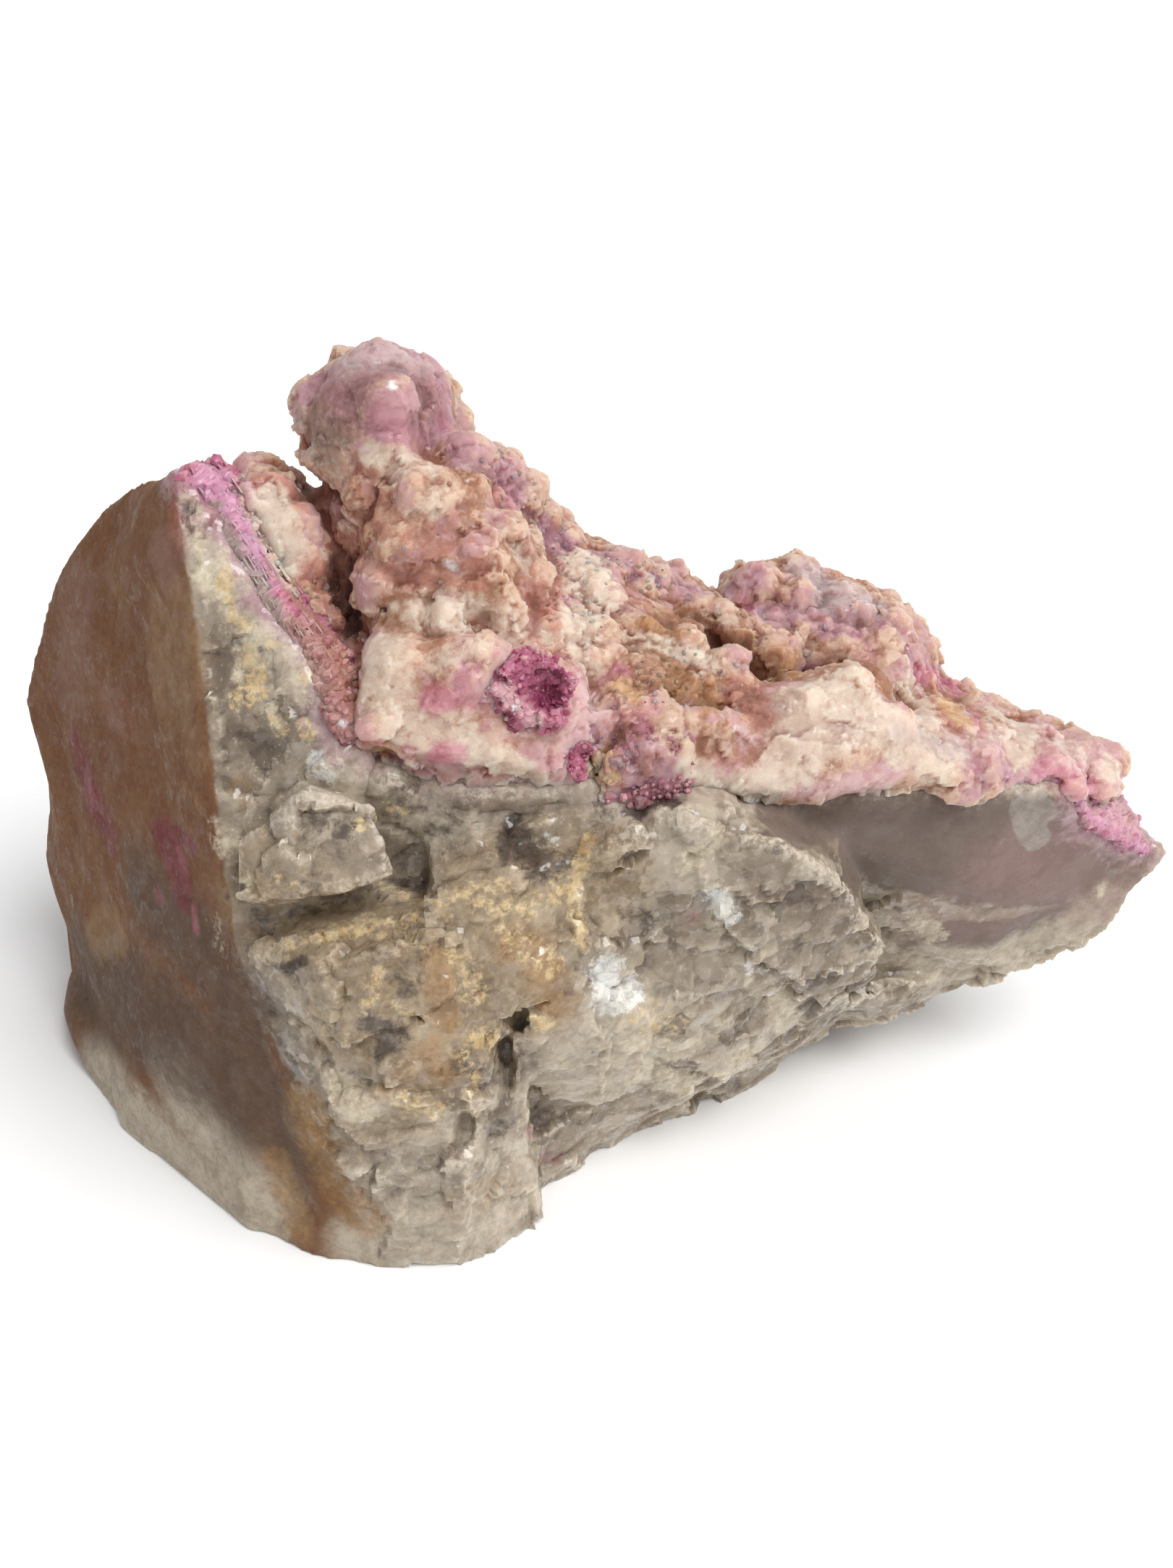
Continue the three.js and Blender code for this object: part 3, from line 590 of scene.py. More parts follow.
crustLook = {
    # painted shade, laid in the creases
    "paintedCreaseShade": (0.27, 0.105, 0.066),
    "tea": (0.33, 0.160, 0.088),
    "peach": (0.385, 0.187, 0.130),
    "palePeach": (0.60, 0.438, 0.338),
    "paleMauve": (0.45, 0.245, 0.275),
    "washes": [  # kind, grain in mm, raggedness, softness, strength, dark and light colour
        ("mauve", 1.6, 2.0, 0.35, 0.95, (0.29, 0.125, 0.150), (0.465, 0.275, 0.305)),
        ("pinkish", 1.6, 1.8, 0.5, 0.85, (0.45, 0.215, 0.235), (0.63, 0.44, 0.44)),
        ("flush", 0.8, 2.0, 0.6, 0.6, (0.44, 0.16, 0.19), (0.60, 0.34, 0.34)),
        ("honey", 1.6, 2.0, 0.35, 0.9, (0.21, 0.088, 0.033), (0.39, 0.205, 0.10)),
        # salmon-brown; on the heap's left side and under the knob it also stands for painted shade
        ("salmon", 1.6, 2.4, 0.4, 0.88, (0.28, 0.095, 0.070), (0.465, 0.22, 0.165)),
        ("cream", 1.6, 2.0, 0.3, 0.9, (0.52, 0.38, 0.30), (0.69, 0.585, 0.48)),
        ("clear", 1.6, 1.6, 0.35, 0.8, (0.37, 0.275, 0.275), (0.54, 0.45, 0.435)),
        ("orange", 0.8, 2.8, 0.3, 0.9, (0.50, 0.25, 0.11), (0.66, 0.46, 0.28)),
        ("magenta", 0.8, 2.0, 0.6, 0.8, (0.40, 0.09, 0.16), (0.58, 0.27, 0.32)),
        ("quartzy", 1.6, 2.2, 0.4, 0.9, (0.22, 0.17, 0.13), (0.46, 0.39, 0.32)),
        # darker tone in places, and painted shade in clefts and hollows
        ("darkAndRecessShade", 1.6, 1.2, 0.4, 1.0, (0.13, 0.055, 0.042), (0.22, 0.10, 0.075)),
        # painted glints: near-white spots standing in for highlights
        ("paintedGlint", 0.8, 1.2, 0.6, 1.0, (0.70, 0.66, 0.62), (0.90, 0.88, 0.85)),
    ],
    "bump": {"Strength": 0.6, "Distance": 0.35 * mm},
    "shader": {
        "Coat Roughness": 0.12, "Specular IOR Level": 0.22, "IOR": 1.53, "Subsurface Weight": 0.85,
        "Subsurface Radius": (1.0, 0.62, 0.5), "Subsurface Scale": 3.4 * mm,
    },
}


def makeCrust(name, grainSize, dullness, grown):
    look = crustLook
    made, tree, place = newMaterial(name)
    broad = noise(tree, place, 5.0, 4.0)
    medium = noise(tree, place, 1.7, 5.0, 0.65, 0.4)
    fine = noise(tree, place, 0.5, 3.0, 0.65)
    grain = facesOf(tree, warpPlace(tree, place, 0.7, 0.5), grainSize, 0.12)
    face = facesOf(tree, warpPlace(tree, place, 1.2, 1.2), 2.1, 0.3)["shade"]
    if grown:
        tone = layerOf(tree, "tone")
        height = mixOf(tree, (tone, 0.2), (1.0, 0.45))
    else:
        tone = grain["shade"]
        # crest height: humps and edges painted lighter, creases darker, as painted light and shade
        height = mixOf(tree, (layerOf(tree, "crest"), 0.82), (layerOf(tree, "edge"), 0.18))
    # lightness from random tone and from the crest height, which is painted light on humps and painted shade
    # in creases
    lights = [(medium, 0.38), (fine, 0.32), (tone, 0.25), (face, 0.22), (height, 0.50), (1.0, -0.36)]
    light = fadeBetween(tree, mixOf(tree, *lights), 0.34, 0.70)
    # painted shade: darkens the creases
    deep = fadeBetween(tree, mixOf(tree, (height, 1.0), (medium, 0.5), (1.0, -0.25)), 0.50, 0.16)
    blush = mixOf(tree, (broad, 0.7), (face, 0.3))
    mauve = times(tree, fadeBetween(tree, blush, 0.48, 0.62), 0.7)
    tea = times(tree, fadeBetween(tree, blush, 0.50, 0.38), mixOf(tree, (light, -0.55), (1.0, 0.75)))
    colour = mixColour(tree, light, look["peach"], look["palePeach"])
    colour = mixColour(tree, mauve, colour, look["paleMauve"])
    colour = mixColour(tree, tea, colour, look["tea"])
    colour = mixColour(tree, deep, colour, look["paintedCreaseShade"])
    # cream and pinkish are held back where the crease shade is painted
    raised = mixOf(tree, (deep, -0.75), (1.0, 1.0))
    shade = mixOf(tree, (light, 0.75), (raised, 0.25))
    colour = washOver(tree, place, colour, look["washes"], shade, {"cream": raised, "pinkish": raised})
    roughness = mixOf(tree, (fine, 0.25), (grain["clear"], -0.15), (1.0, dullness))
    relief = mixOf(tree, (grain["height"], 0.6), (fine, 0.4))
    spark = times(tree, facesOf(tree, place, 0.4, 0.08)["clear"], 0.6)
    closeMaterial(tree, look, colour, roughness, relief, spark)
    return made


tourmalineLook = {
    "crimson": (0.22, 0.035, 0.075),
    "magenta": (0.43, 0.120, 0.195),
    "pale": (0.62, 0.38, 0.40),
    "washes": [  # kind, grain in mm, raggedness, softness, strength, dark and light colour
        ("lilac", 0.9, 1.6, 0.4, 0.85, (0.52, 0.21, 0.34), (0.70, 0.44, 0.55)),
        ("stone", 0.9, 2.6, 0.3, 0.92, (0.24, 0.175, 0.145), (0.52, 0.43, 0.37)),
        ("rosy", 0.9, 2.0, 0.4, 0.9, (0.30, 0.185, 0.165), (0.46, 0.28, 0.28)),
        ("mauve", 0.9, 2.4, 0.4, 0.88, (0.27, 0.115, 0.125), (0.45, 0.24, 0.245)),
        ("faded", 0.9, 2.8, 0.35, 0.88, (0.33, 0.145, 0.125), (0.52, 0.31, 0.26)),
        ("salmon", 0.9, 2.0, 0.3, 0.85, (0.38, 0.15, 0.12), (0.56, 0.32, 0.25)),
        ("cream", 0.9, 2.0, 0.3, 0.9, (0.54, 0.40, 0.31), (0.68, 0.58, 0.47)),
        ("orange", 0.9, 2.2, 0.3, 0.9, (0.50, 0.25, 0.11), (0.66, 0.46, 0.28)),
        ("deep", 0.9, 1.6, 0.4, 0.95, (0.12, 0.010, 0.030), (0.26, 0.025, 0.085)),
        ("pale", 0.9, 1.8, 0.35, 0.9, (0.56, 0.30, 0.33), (0.66, 0.44, 0.43)),
        # painted glints: near-white spots standing in for highlights
        ("paintedGlint", 0.9, 1.2, 0.6, 1.0, (0.70, 0.62, 0.66), (0.90, 0.86, 0.88)),
    ],
    "bump": {"Strength": 0.4, "Distance": 0.15 * mm},
    "shader": {
        "Specular IOR Level": 0.4, "IOR": 1.63, "Subsurface Weight": 0.4,
        "Subsurface Radius": (1.0, 0.4, 0.6), "Subsurface Scale": 1.2 * mm,
    },
}


def makeTourmaline():
    look = tourmalineLook
    made, tree, place = newMaterial("magentaTourmaline")
    tone = layerOf(tree, "tone")
    medium = noise(tree, place, 1.3, 4.0, 0.6)
    fine = noise(tree, place, 0.3, 3.0, 0.6)
    crest = layerOf(tree, "crest")
    # crests painted lighter and creases darker crimson: painted light and shade, with random tone
    light = mixOf(tree, (medium, 0.35), (fine, 0.25), (tone, 0.45), (crest, 0.45), (1.0, -0.27))
    colour = mixColour(tree, fadeBetween(tree, light, 0.2, 0.5), look["crimson"], look["magenta"])
    colour = mixColour(tree, fadeBetween(tree, light, 0.5, 0.85), colour, look["pale"])
    colour = washOver(tree, place, colour, look["washes"], tone)
    closeMaterial(tree, look, colour, mixOf(tree, (fine, 0.3), (1.0, 0.24)), fine)
    return made


quartzMaterial = makeQuartz()
crustMaterial = makeCrust("pinkCrust", 0.7, 0.34, False)
crystalMaterial = makeCrust("crustCrystals", 1.4, 0.26, True)
tourmalineMaterial = makeTourmaline()
print("stage: materials made")


# ---- one crystal of each kind, to be copied

def prism(sides, length, point, twist, tip=0.12):  # a prism with a blunt point, one unit wide
    base = {"radius": 0.5, "depth": length, "location": (0, 0, length / 2), "end_fill_type": "NGON"}
    bpy.ops.mesh.primitive_cylinder_add(vertices=sides, **base)
    made = bpy.context.object
    bpy.ops.object.transform_apply(location=True, rotation=True, scale=True)
    bpy.ops.object.mode_set(mode="EDIT")
    bpy.ops.mesh.select_mode(type="FACE")
    bpy.ops.mesh.select_all(action="DESELECT")
    bpy.ops.object.mode_set(mode="OBJECT")
    for face in made.data.polygons:
        face.select = face.normal.z > 0.9
    bpy.ops.object.mode_set(mode="EDIT")
    bpy.ops.mesh.extrude_region_move(TRANSFORM_OT_translate={"value": (0, 0, point)})
    bpy.ops.transform.resize(value=(tip, tip, 1), center_override=(0.03, 0.02, length + point))
    bpy.ops.mesh.select_all(action="SELECT")
    bpy.ops.transform.rotate(value=twist, orient_axis="Z", center_override=(0, 0, 0))
    bpy.ops.object.mode_set(mode="OBJECT")
    return made


def blockyGrain(seed, flat):
    bpy.ops.mesh.primitive_ico_sphere_add(subdivisions=1, radius=0.5)
    made = bpy.context.object
    rng = np.random.RandomState(seed)
    for vertex in made.data.vertices:
        vertex.co *= 1 + 0.35 * (rng.rand() - 0.5)
        vertex.co.z *= flat
    return made


def wornBlock(seed, width, depth, height):  # a blocky lump with worn corners
    bpy.ops.mesh.primitive_cube_add(size=1, location=(0, 0, 0))
    made = bpy.context.object
    made.scale = (width, depth, height)
    bpy.ops.object.transform_apply(location=True, rotation=True, scale=True)
    bpy.ops.object.mode_set(mode="EDIT")
    bpy.ops.mesh.select_all(action="SELECT")
    bpy.ops.mesh.bevel(offset=0.16, segments=1, affect="EDGES")
    bpy.ops.object.mode_set(mode="OBJECT")
    rng = np.random.RandomState(seed)
    for vertex in made.data.vertices:
        vertex.co *= 1 + 0.22 * (rng.rand() - 0.5)
    applyModifier(made, "SUBSURF", levels=1, render_levels=1)
    return made


stockShapes = {  # the kinds of crystal, and the values of each one
    "points": (prism, [(6, 0.5, 0.55, 0.0), (6, 0.8, 0.5, 0.3), (5, 0.35, 0.45, 0.7)]),
    "lumps": (wornBlock, [(1, 1.0, 0.85, 0.8), (2, 0.85, 0.7, 1.0), (3, 1.0, 0.7, 0.65), (4, 0.9, 0.9, 0.9)]),
    "grains": (blockyGrain, [(0, 0.70), (1, 0.78), (2, 0.86), (3, 0.94), (4, 1.02)]),
    "needles": (prism, [(5, 7.0, 0.8, 0.0), (5, 10.0, 0.8, 0.4), (6, 5.0, 0.6, 0.2)]),
    "prisms": (prism, [(6, 0.9, 0.25, 0.0), (5, 1.3, 0.3, 0.4)]),
}
stocks = {}
for stockName, (makeOne, shapes) in stockShapes.items():
    stocks[stockName] = bpy.data.collections.new(stockName)
    bpy.context.scene.collection.children.link(stocks[stockName])
    for shape in shapes:
        deselectAll()
        single = makeOne(*shape)
        for other in single.users_collection:
            other.objects.unlink(single)
        stocks[stockName].objects.link(single)
print("stage: crystal kinds made")


def grow(host, name, stockName, densityLayer, spacing, smallest, largest, sink, seed, **values):
    made = host.copy()
    made.data = host.data.copy()
    made.name = name
    bpy.context.scene.collection.objects.link(made)
    settings = {"tilt": 1.5, "along": (0, 0, 1), "aligned": False, "spacing": spacing, "smallest": smallest}
    settings.update(values, largest=largest, sink=sink, seed=seed, crystals=stocks[stockName])
    applyNodes(made, growthGroup, {"density": densityLayer}, **settings)
    return made


def breakUp(piece, layerName, facets):  # from coarse to fine
    for size, steepness, step, warp, stretch in facets:
        values = {"size": size, "steepness": steepness, "step": step, "warp": warp, "stretch": stretch}
        applyNodes(piece, facetGroup, {"amount": layerName}, **values)


# ---- crystal crust; a stroke is a radius, a strength and its points, in a list for each kind

crustShape = {
    "firstVoxel": 0.6,
    "voxel": 0.37,
    "rounding": 3,
    "swelling": 0.3,
    "wear": 40,
    "smoothAngle": 26,
    "crest": (110, 0.85),  # rounds of wear, and how far a hump stands out in mm
    "edge": (8, 0.15),
    "humps": {"size": 5.2, "height": 1.5, "warp": 2.5},
    "facets": [(3.6, 0.34, 0.18, 2.0, (1, 1, 1)), (1.9, 0.34, 0.10, 1.0, (1, 1, 1))],
    "grains": {"size": 1.2, "height": 0.38, "warp": 0.5},
    "fineFacets": [(0.85, 0.35, 0.09, 0.4, (1, 1, 1))],
    "blocks": {"spacing": 2.2, "smallest": 1.8, "largest": 5.4, "tilt": 1.4, "sink": 0.28, "seed": 4},
    "brim": {"spacing": 1.1, "smallest": 1.1, "largest": 2.8, "tilt": 1.4, "sink": 0.15, "seed": 14},
    "brimReach": 2.0,
    "points": {"spacing": 2.6, "smallest": 0.3, "largest": 1.0, "tilt": 0.9, "sink": 0.45, "seed": 3},
    "sand": {"spacing": 0.7, "smallest": 0.3, "largest": 0.8, "sink": 0.2, "seed": 12},
    "seamReach": 1.6,
    "seamWearReach": 3.5,
    "seamEdge": [(1, -11.5, 50.5), (1, -13, 47), (1.2, -14, 44), (4, -14.2, 43), (8, -13.8, 43)],
    "lips": [  # reach, shift and line of each pull on the lower edge, towards the quartz
        (1.7, (0, -2.8, 0), [(1.5, -9.5, 50), (1.5, -9.5, 47), (1.5, -10, 44.5)]),
        (2.6, (0, 1.7, 0.5), [(-17, -16.5, 48), (-11, -17.5, 46.5), (-5, -16.5, 45)]),
        (2.2, (0, 0.9, 0.0), [(1, -15, 44), (5, -15, 43.5), (9, -14.5, 43)]),
    ],
    "forms": {  # how each part of the surface is broken
        "calm": [
            (4.5, 1, (-17, -11.5, 57.5), (-16, -14, 55), (-11.5, -14.5, 52.5), (-4, -13, 52)),
            (4.5, 0.9, (20, -7, 50.5), (19, -10, 46.5), (30, -7.5, 45.5)),
            (3, 0.8, (9.5, -13, 47), (12.5, -12, 44.5)), (6, 1, (-19, 4, 75), (-14, 6, 74)),
            (5, 0.6, (34, 0, 43), (42, 0, 41), (48, 0, 39)),
            (2.5, 0.8, (-26.5, -0.5, 64.5), (-25.5, -1.5, 62)),
        ],
        "grainy": [
            (2.5, 0.8, (-10, 2, 69), (-7, 3.5, 66), (-4, 6, 60), (2, 7, 57), (8, 10, 52)),
            (2, 0.6, (34, 3, 43), (37, 2, 42)),
            (3, 0.9, (0.5, 4, 57.5), (0, -4, 56), (4, -6, 54), (12, -5, 52)),
            (2.5, 0.8, (2.5, -10, 48), (4, -12, 47)), (3, 0.5, (9, 9, 52), (16, 8, 51), (24, 5, 49)),
            (3, 0.7, (-23, -3.5, 58), (-21, -9, 55)),
        ],
        "blocky": [
            (6.5, 1, (-16, -2, 66), (-13, -4, 61), (-11, -6, 58)),
            (5, 0.8, (10, 5, 51), (18, 3, 48.5), (24, 8, 49), (22, 14, 50)),
            (3.5, 0.7, (9, -7, 51), (16, -8, 50)), (3.5, 0.8, (-26, 1, 64), (-22, 3, 62)),
            (12, 0.6, (-10, 12, 60), (10, 16, 48), (30, 14, 42)),
        ],
    },
    "growth": {  # where small crystals grow thick
        "druse": [
            (6, 0.5, (-16, -2, 66), (-13, -4, 61), (-11, -6, 58)),
            (4, 0.6, (10, 5, 51), (18, 3, 48.5), (24, 6, 49)), (3, 0.6, (9, -7, 51), (16, -8, 50)),
        ],
        "sand": [
            (2.2, 1, (2.5, -10, 47.5), (3.5, -12, 48)), (2, 0.8, (4, -9, 52), (10, -5, 53)),
            (2.5, 0.8, (-8, 3, 67), (-4, 5, 61), (1, 6, 57), (8, 9, 52)), (2, 0.6, (34, 3, 43), (37, 2, 42)),
            (2, 0.6, (0.5, 4, 57.5), (0, -4, 56)), (2.5, 0.8, (-23, -3, 58), (-21.5, -8, 55.5)),
        ],
    },
    "strokes": {
        "quartzy": [
            # on the knob's left side this grey-olive wash is partly painted shade
            (2.8, 0.6, (-24, 3, 72.5), (-22, 1.5, 70.5)),
            (2, 1, (-17, -15, 47.5), (-14, -17, 47), (-11, -16.5, 46.5), (-7.5, -16.5, 46), (-4, -15, 44),
                (-1, -13.5, 42.5)),
            (1, 0.8, (8, -13.5, 43.5), (12, -12.5, 43), (17, -12, 43)),
        ],
        "pinkish": [
            (1.6, 0.8, (12, -12, 44.5), (20, -11.5, 44), (28, -9, 43.5)),
            (2, 0.5, (15, -10, 48), (23, -8.5, 47)),
            (2, 0.9, (33.5, -4.5, 44), (36, -5, 42.5), (44, 3, 40.5)),
            (2.6, 0.9, (44, -1, 41), (46.5, 0.5, 39), (49.5, 0.5, 38)),
            (2.2, 0.8, (0, -10, 53.5), (0.5, -11.5, 51.5), (0, -13, 50)),
            (1.7, 0.7, (-7, -9, 58), (-9.5, -12, 58), (-10, -13, 56.5)),
            (2.2, 0.7, (-1.5, -14, 47), (0.5, -13, 44.5), (-2.5, -14.5, 48)),
            (1.2, 0.7, (-29, 1.5, 66), (-28.5, 0, 64.5)),
        ],
        "mauve": [
            (3.4, 0.9, (-23, 4.5, 73.5), (-20, 4, 75.5), (-17, 5.5, 77), (-13.5, 7.5, 75), (-13, 6, 72.5),
                (-15.5, -0.5, 74.5)),
            (1.8, 0.9, (-10.5, 2, 70.5), (-7, 3.5, 67), (-5.5, 5, 63), (-3, 7, 59), (0, 5.5, 57.5)),
            (1.2, 0.8, (1, 8.5, 56.5), (4.5, 6.5, 55.5), (8, 10, 52)),
            (1.7, 0.8, (9, 9, 51.5), (16.5, 10, 53)),
            (1.7, 0.8, (17, 7, 51), (21, 6.5, 50.5), (27, 5.5, 48.5), (31.5, 5.5, 46)),
            (2.1, 0.4, (20.5, 11.5, 52), (27.5, 11.5, 49.5), (31.5, 8.5, 48)),
            (1.4, 0.8, (35, -6, 42.5), (40, -4, 40.5), (44, -3.5, 38)),
            (1.4, 0.6, (29.5, 2, 47.5), (35, 11.5, 41.5)),
            (2.1, 0.9, (3, -10.5, 50), (5, -13.5, 49), (7, -13.5, 47), (7, -13.5, 44.5)),
            (1.4, 0.6, (-30, 2, 66.5), (-26, 3, 66)), (1.6, 0.6, (-4, 2, 59.5), (-2, 3, 58)),
            (2.4, 0.6, (19, 8, 50.5), (23, 8, 50.5), (28, 7, 49.5)),
            (2.4, 0.95, (3, -12.5, 48.5), (5, -13.5, 46), (8, -14, 46), (9, -13.5, 44)),
            (1.4, 0.7, (35, -7, 41.5), (36.5, -6.5, 41), (34.5, -7, 40)),
        ],
        "magenta": [
            (1.3, 0.95, (-12.5, -14, 54.5), (-10.5, -13.5, 55), (-9.5, -13, 56.5)),
            (0.8, 0.7, (-9.5, -14, 54), (-9, -13.5, 54.5)), (0.8, 0.7, (15, 8.5, 51.5), (16, 7.5, 51)),
            (1.2, 0.95, (-12, -15.5, 50), (-11, -15.5, 50)),
            (0.8, 0.6, (-14.5, -16, 50.5), (-16.5, -12.5, 47), (-18, -11, 47.5)),
            (0.8, 0.5, (-3, -14.5, 48), (-2, -14, 48.5)), (1.2, 0.6, (5.5, -11, 50.5), (6.5, -10, 51.5)),
            (1, 0.9, (1.5, -10.5, 50), (2.5, -10.5, 49)), (1, 0.7, (2, -7.5, 52.5), (3.5, -7, 53)),
            (1, 0.9, (34.5, 9, 42)), (0.8, 0.6, (37, 3, 42), (37, -2, 43.5)),
            (0.8, 0.5, (33, -6.5, 40.5), (36, -6, 42)), (1.1, 0.5, (17, -6, 50), (19, -4.5, 50)),
            (1, 0.4, (12.5, -11.5, 46), (14, -11, 46)), (0.6, 0.6, (-1.5, -2, 57.5), (-0.5, -1, 57)),
            (1.4, 0.4, (-7.5, 0.5, 66), (-6.5, 2, 65)), (1, 0.4, (-12, 7, 72.5), (-12.5, 5, 71)),
            (1, 0.5, (6.5, -13.5, 45.5), (7.5, -13.5, 44.5)), (1.2, 0.4, (27, 3.5, 48.5), (25.5, 4.5, 49)),
            (1.6, 0.45, (-17.5, 0, 74.5), (-16, 0, 73)), (1, 0.75, (-9.5, -13, 56), (-9.5, -13.5, 55)),
            (0.8, 0.6, (-3, -14.5, 48)), (0.7, 0.5, (-11, -15.5, 50), (-11.5, -16, 49)),
            (1.5, 0.75, (3.5, -14.5, 44.5), (6.5, -14.5, 44.5), (8.5, -14, 45)),
            (0.8, 0.7, (5.5, -12, 50.5), (6.5, -12, 49.5)),
            (1.3, 0.8, (31.5, 5.5, 45.5), (35.5, 10.5, 41.5), (37, 8.5, 41)),
            (1.6, 0.9, (43.5, -3, 39.5), (45.5, -2.5, 38), (48, -1.5, 37)),
            (0.7, 0.7, (-17.5, -15.5, 51.5), (-15.5, -16.5, 50)),
            (0.9, 0.8, (-12.5, -15.5, 49.5), (-11.5, -16, 49)),
        ],
        "honey": [
            (1.7, 0.6, (-16.5, -7.5, 59), (-15, -9, 57.5)), (1.4, 0.5, (-10.5, -9, 58.5)),
            (1.8, 0.9, (6.5, -2.5, 55), (10.5, 5.5, 51), (13.5, 4.5, 49.5), (16.5, 2, 49), (18.5, 1, 48.5)),
            (1.7, 0.9, (8, -7, 52), (10, -7.5, 51), (12.5, -7.5, 51)),
            (1.1, 1, (9, -8.5, 49.5), (11, -10, 50.5)), (1.4, 0.4, (-11, -7, 61)), (1, 0.5, (23, 4, 48)),
            (3.2, 0.6, (-16, -3, 65), (-13, -5, 62), (-9, -6, 61)),
            (2.4, 0.45, (-18, -1, 69), (-13, -2, 68)),
            (2.2, 0.6, (13, -7, 50.5), (16.5, -8.5, 50), (18.5, -7.5, 50.5)),
            (3, 0.75, (7, -3, 54), (11, 2, 51.5), (15, 1, 49.5), (18.5, 0, 48.5)),
            (1.2, 0.8, (-17.5, -3, 63), (-15, -6, 60.5), (-12, -7, 60.5)),
            (1.4, 0.6, (-19, 0, 68), (-17, -2, 65)),
        ],
        # salmon-brown, partly painted shade on the heap's left side and under the knob
        "salmon": [
            (2.8, 0.5, (-18, -1, 67), (-15, -4.5, 66.5), (-11.5, -4.5, 65.5)),
            (2.1, 0.65, (-19.5, -1, 62), (-16.5, -5, 62), (-12.5, -6, 62.5), (-9, -6.5, 63)),
            (1.9, 0.95, (14, -7, 50.5), (16.5, -8.5, 50), (18.5, -7.5, 50.5)),
            (1.2, 0.8, (-3, 1.5, 58), (-2, -6.5, 57.5)), (1.6, 0.8, (-4.5, -4, 61), (-3.5, -5.5, 58)),
            (1.8, 0.8, (-23, 5, 64), (-21.5, 1.5, 62.5)), (1.4, 0.7, (-23.5, 4, 71.5), (-23, 4, 73)),
            (1.4, 0.7, (-22, 2, 70), (-19, 0, 70)), (1.7, 0.6, (-6.5, -3, 64), (-4, 3, 59)),
            (1.7, 0.5, (6, -13.5, 48)), (1.4, 0.5, (-14, -6.5, 60), (-12, -6.5, 61.5)),
            (2.2, 0.6, (4, -11, 50), (6, -11, 49)),
            (1.8, 0.8, (-7.5, -1, 63), (-5.5, 0, 61), (-5, 1.5, 59.5)),
            (1.6, 0.8, (33, 1, 44), (34, -2, 44.5)), (1.2, 0.8, (37, 4, 42), (37, -1.5, 43.5)),
            (1.2, 0.9, (-19.5, -12.5, 51.5), (-17.5, -15.5, 51), (-15.5, -16.5, 49.5)),
            (2.2, 0.9, (-24, -2.5, 60), (-22.5, -4, 55.5), (-20.5, -11, 54)),
            (1.2, 0.8, (-28, 3, 67), (-26, 3, 65.5), (-24.5, 1, 65.5)),
        ],
        # darker tone on the knob, painted shade in the clefts and hollows
        "darkAndRecessShade": [
            (1.5, 1, (-21, -0.5, 60.5), (-20, -1.5, 57), (-19.5, -3, 55)),
            (1.2, 0.8, (-22.5, 1.5, 58.5), (-21.5, -2, 56)), (0.6, 1, (-20.5, -10, 54.5)),
            (0.6, 1, (21.5, 5.5, 50)), (0.8, 0.7, (7, -13.5, 44), (8.5, -13.5, 44.5)),
            (3.4, 0.5, (-22, 3, 73), (-18, 3, 74.5), (-14, 5, 74)),
            (2, 0.3, (-4.5, -4, 61), (-3.5, -5.5, 58), (-6, -1, 63)),
            (3, 0.35, (4, -13.5, 48), (7, -13.5, 46), (6, -14, 44)),
            (1.6, 0.48, (14, -7, 50.5), (16.5, -8.5, 50), (18.5, -7.5, 50.5)),
            (2, 0.6, (8, 0, 53), (11, 4.5, 51), (14, 3.5, 49.5), (17, 1.5, 48.5)),
        ],
        "orange": [
            (1.6, 0.8, (1.5, -12, 47.5), (2.5, -13.5, 46), (2, -12, 44.5)),
            (1, 0.9, (3.5, -8.5, 52.5), (4.5, -9.5, 52), (6, -10, 51)),
            (1.2, 0.9, (34.5, 5, 42.5), (34.5, 1, 44), (35.5, -1, 44)),
            (1, 0.5, (-24.5, -3, 59), (-23, -6.5, 57), (-21, -9.5, 55)),
            (0.7, 0.6, (-18, -11, 47), (-16.5, -16, 51)), (0.8, 0.5, (0, -14.5, 47), (0.5, -13, 47)),
        ],
        "cream": [
            (2.8, 0.7, (-17, -11.5, 57.5), (-16, -14, 55), (-15, -15, 52.5), (-11.5, -14.5, 52.5)),
            (1.7, 0.9, (-10, -15, 50.5), (-6.5, -15.5, 48.5), (-4, -14.5, 46.5)),
            (1.4, 0.6, (-13, -12.5, 57), (-8.5, -12, 58.5)),
            (1.2, 0.7, (-6.5, -3, 64.5), (-5, -3.5, 61.5), (-4.5, -4, 57.5), (-3, -7, 56.5)),
            (1.8, 1, (0.5, 5, 57.5), (1, 0, 56.5), (-0.5, -6, 56)),
            (0.9, 1, (3.5, -4, 54.5), (6.5, -3.5, 54), (9.5, -4.5, 53.5), (13.5, -5, 51.5)),
            (3.1, 1, (20, -7, 50.5), (22.5, -8, 48.5), (19, -10, 46.5)),
            (2.4, 0.9, (24, -5.5, 51), (26, -7, 48.5), (30, -7.5, 45.5), (33, -6, 43.5)),
            (1.5, 0.9, (9.5, -13, 47), (12.5, -12, 44.5), (18, -11.5, 44.5)),
            (1.5, 0.5, (36.5, -2.5, 43.5), (43, 1.5, 41), (48, 1, 38.5)),
            (1.4, 0.8, (49, -0.5, 37), (50.5, 0.5, 38)),
            (1.7, 1, (-27.5, 1.5, 65.5), (-26, -1.5, 63.5), (-26, -2, 61.5)),
            (1.2, 1, (-18, 0, 71), (-16, -0.5, 71)), (1.5, 0.8, (-14.5, -3, 67.5), (-12.5, -3.5, 68)),
            (0.7, 0.8, (-17.5, -5.5, 58), (-16, -7, 59.5)),
            (2, 0.8, (-13.5, -8, 59.5), (-11, -8.5, 60), (-6.5, -8.5, 58.5)),
            (1.6, 0.7, (-16, -1.5, 70), (-13, -1, 70)),
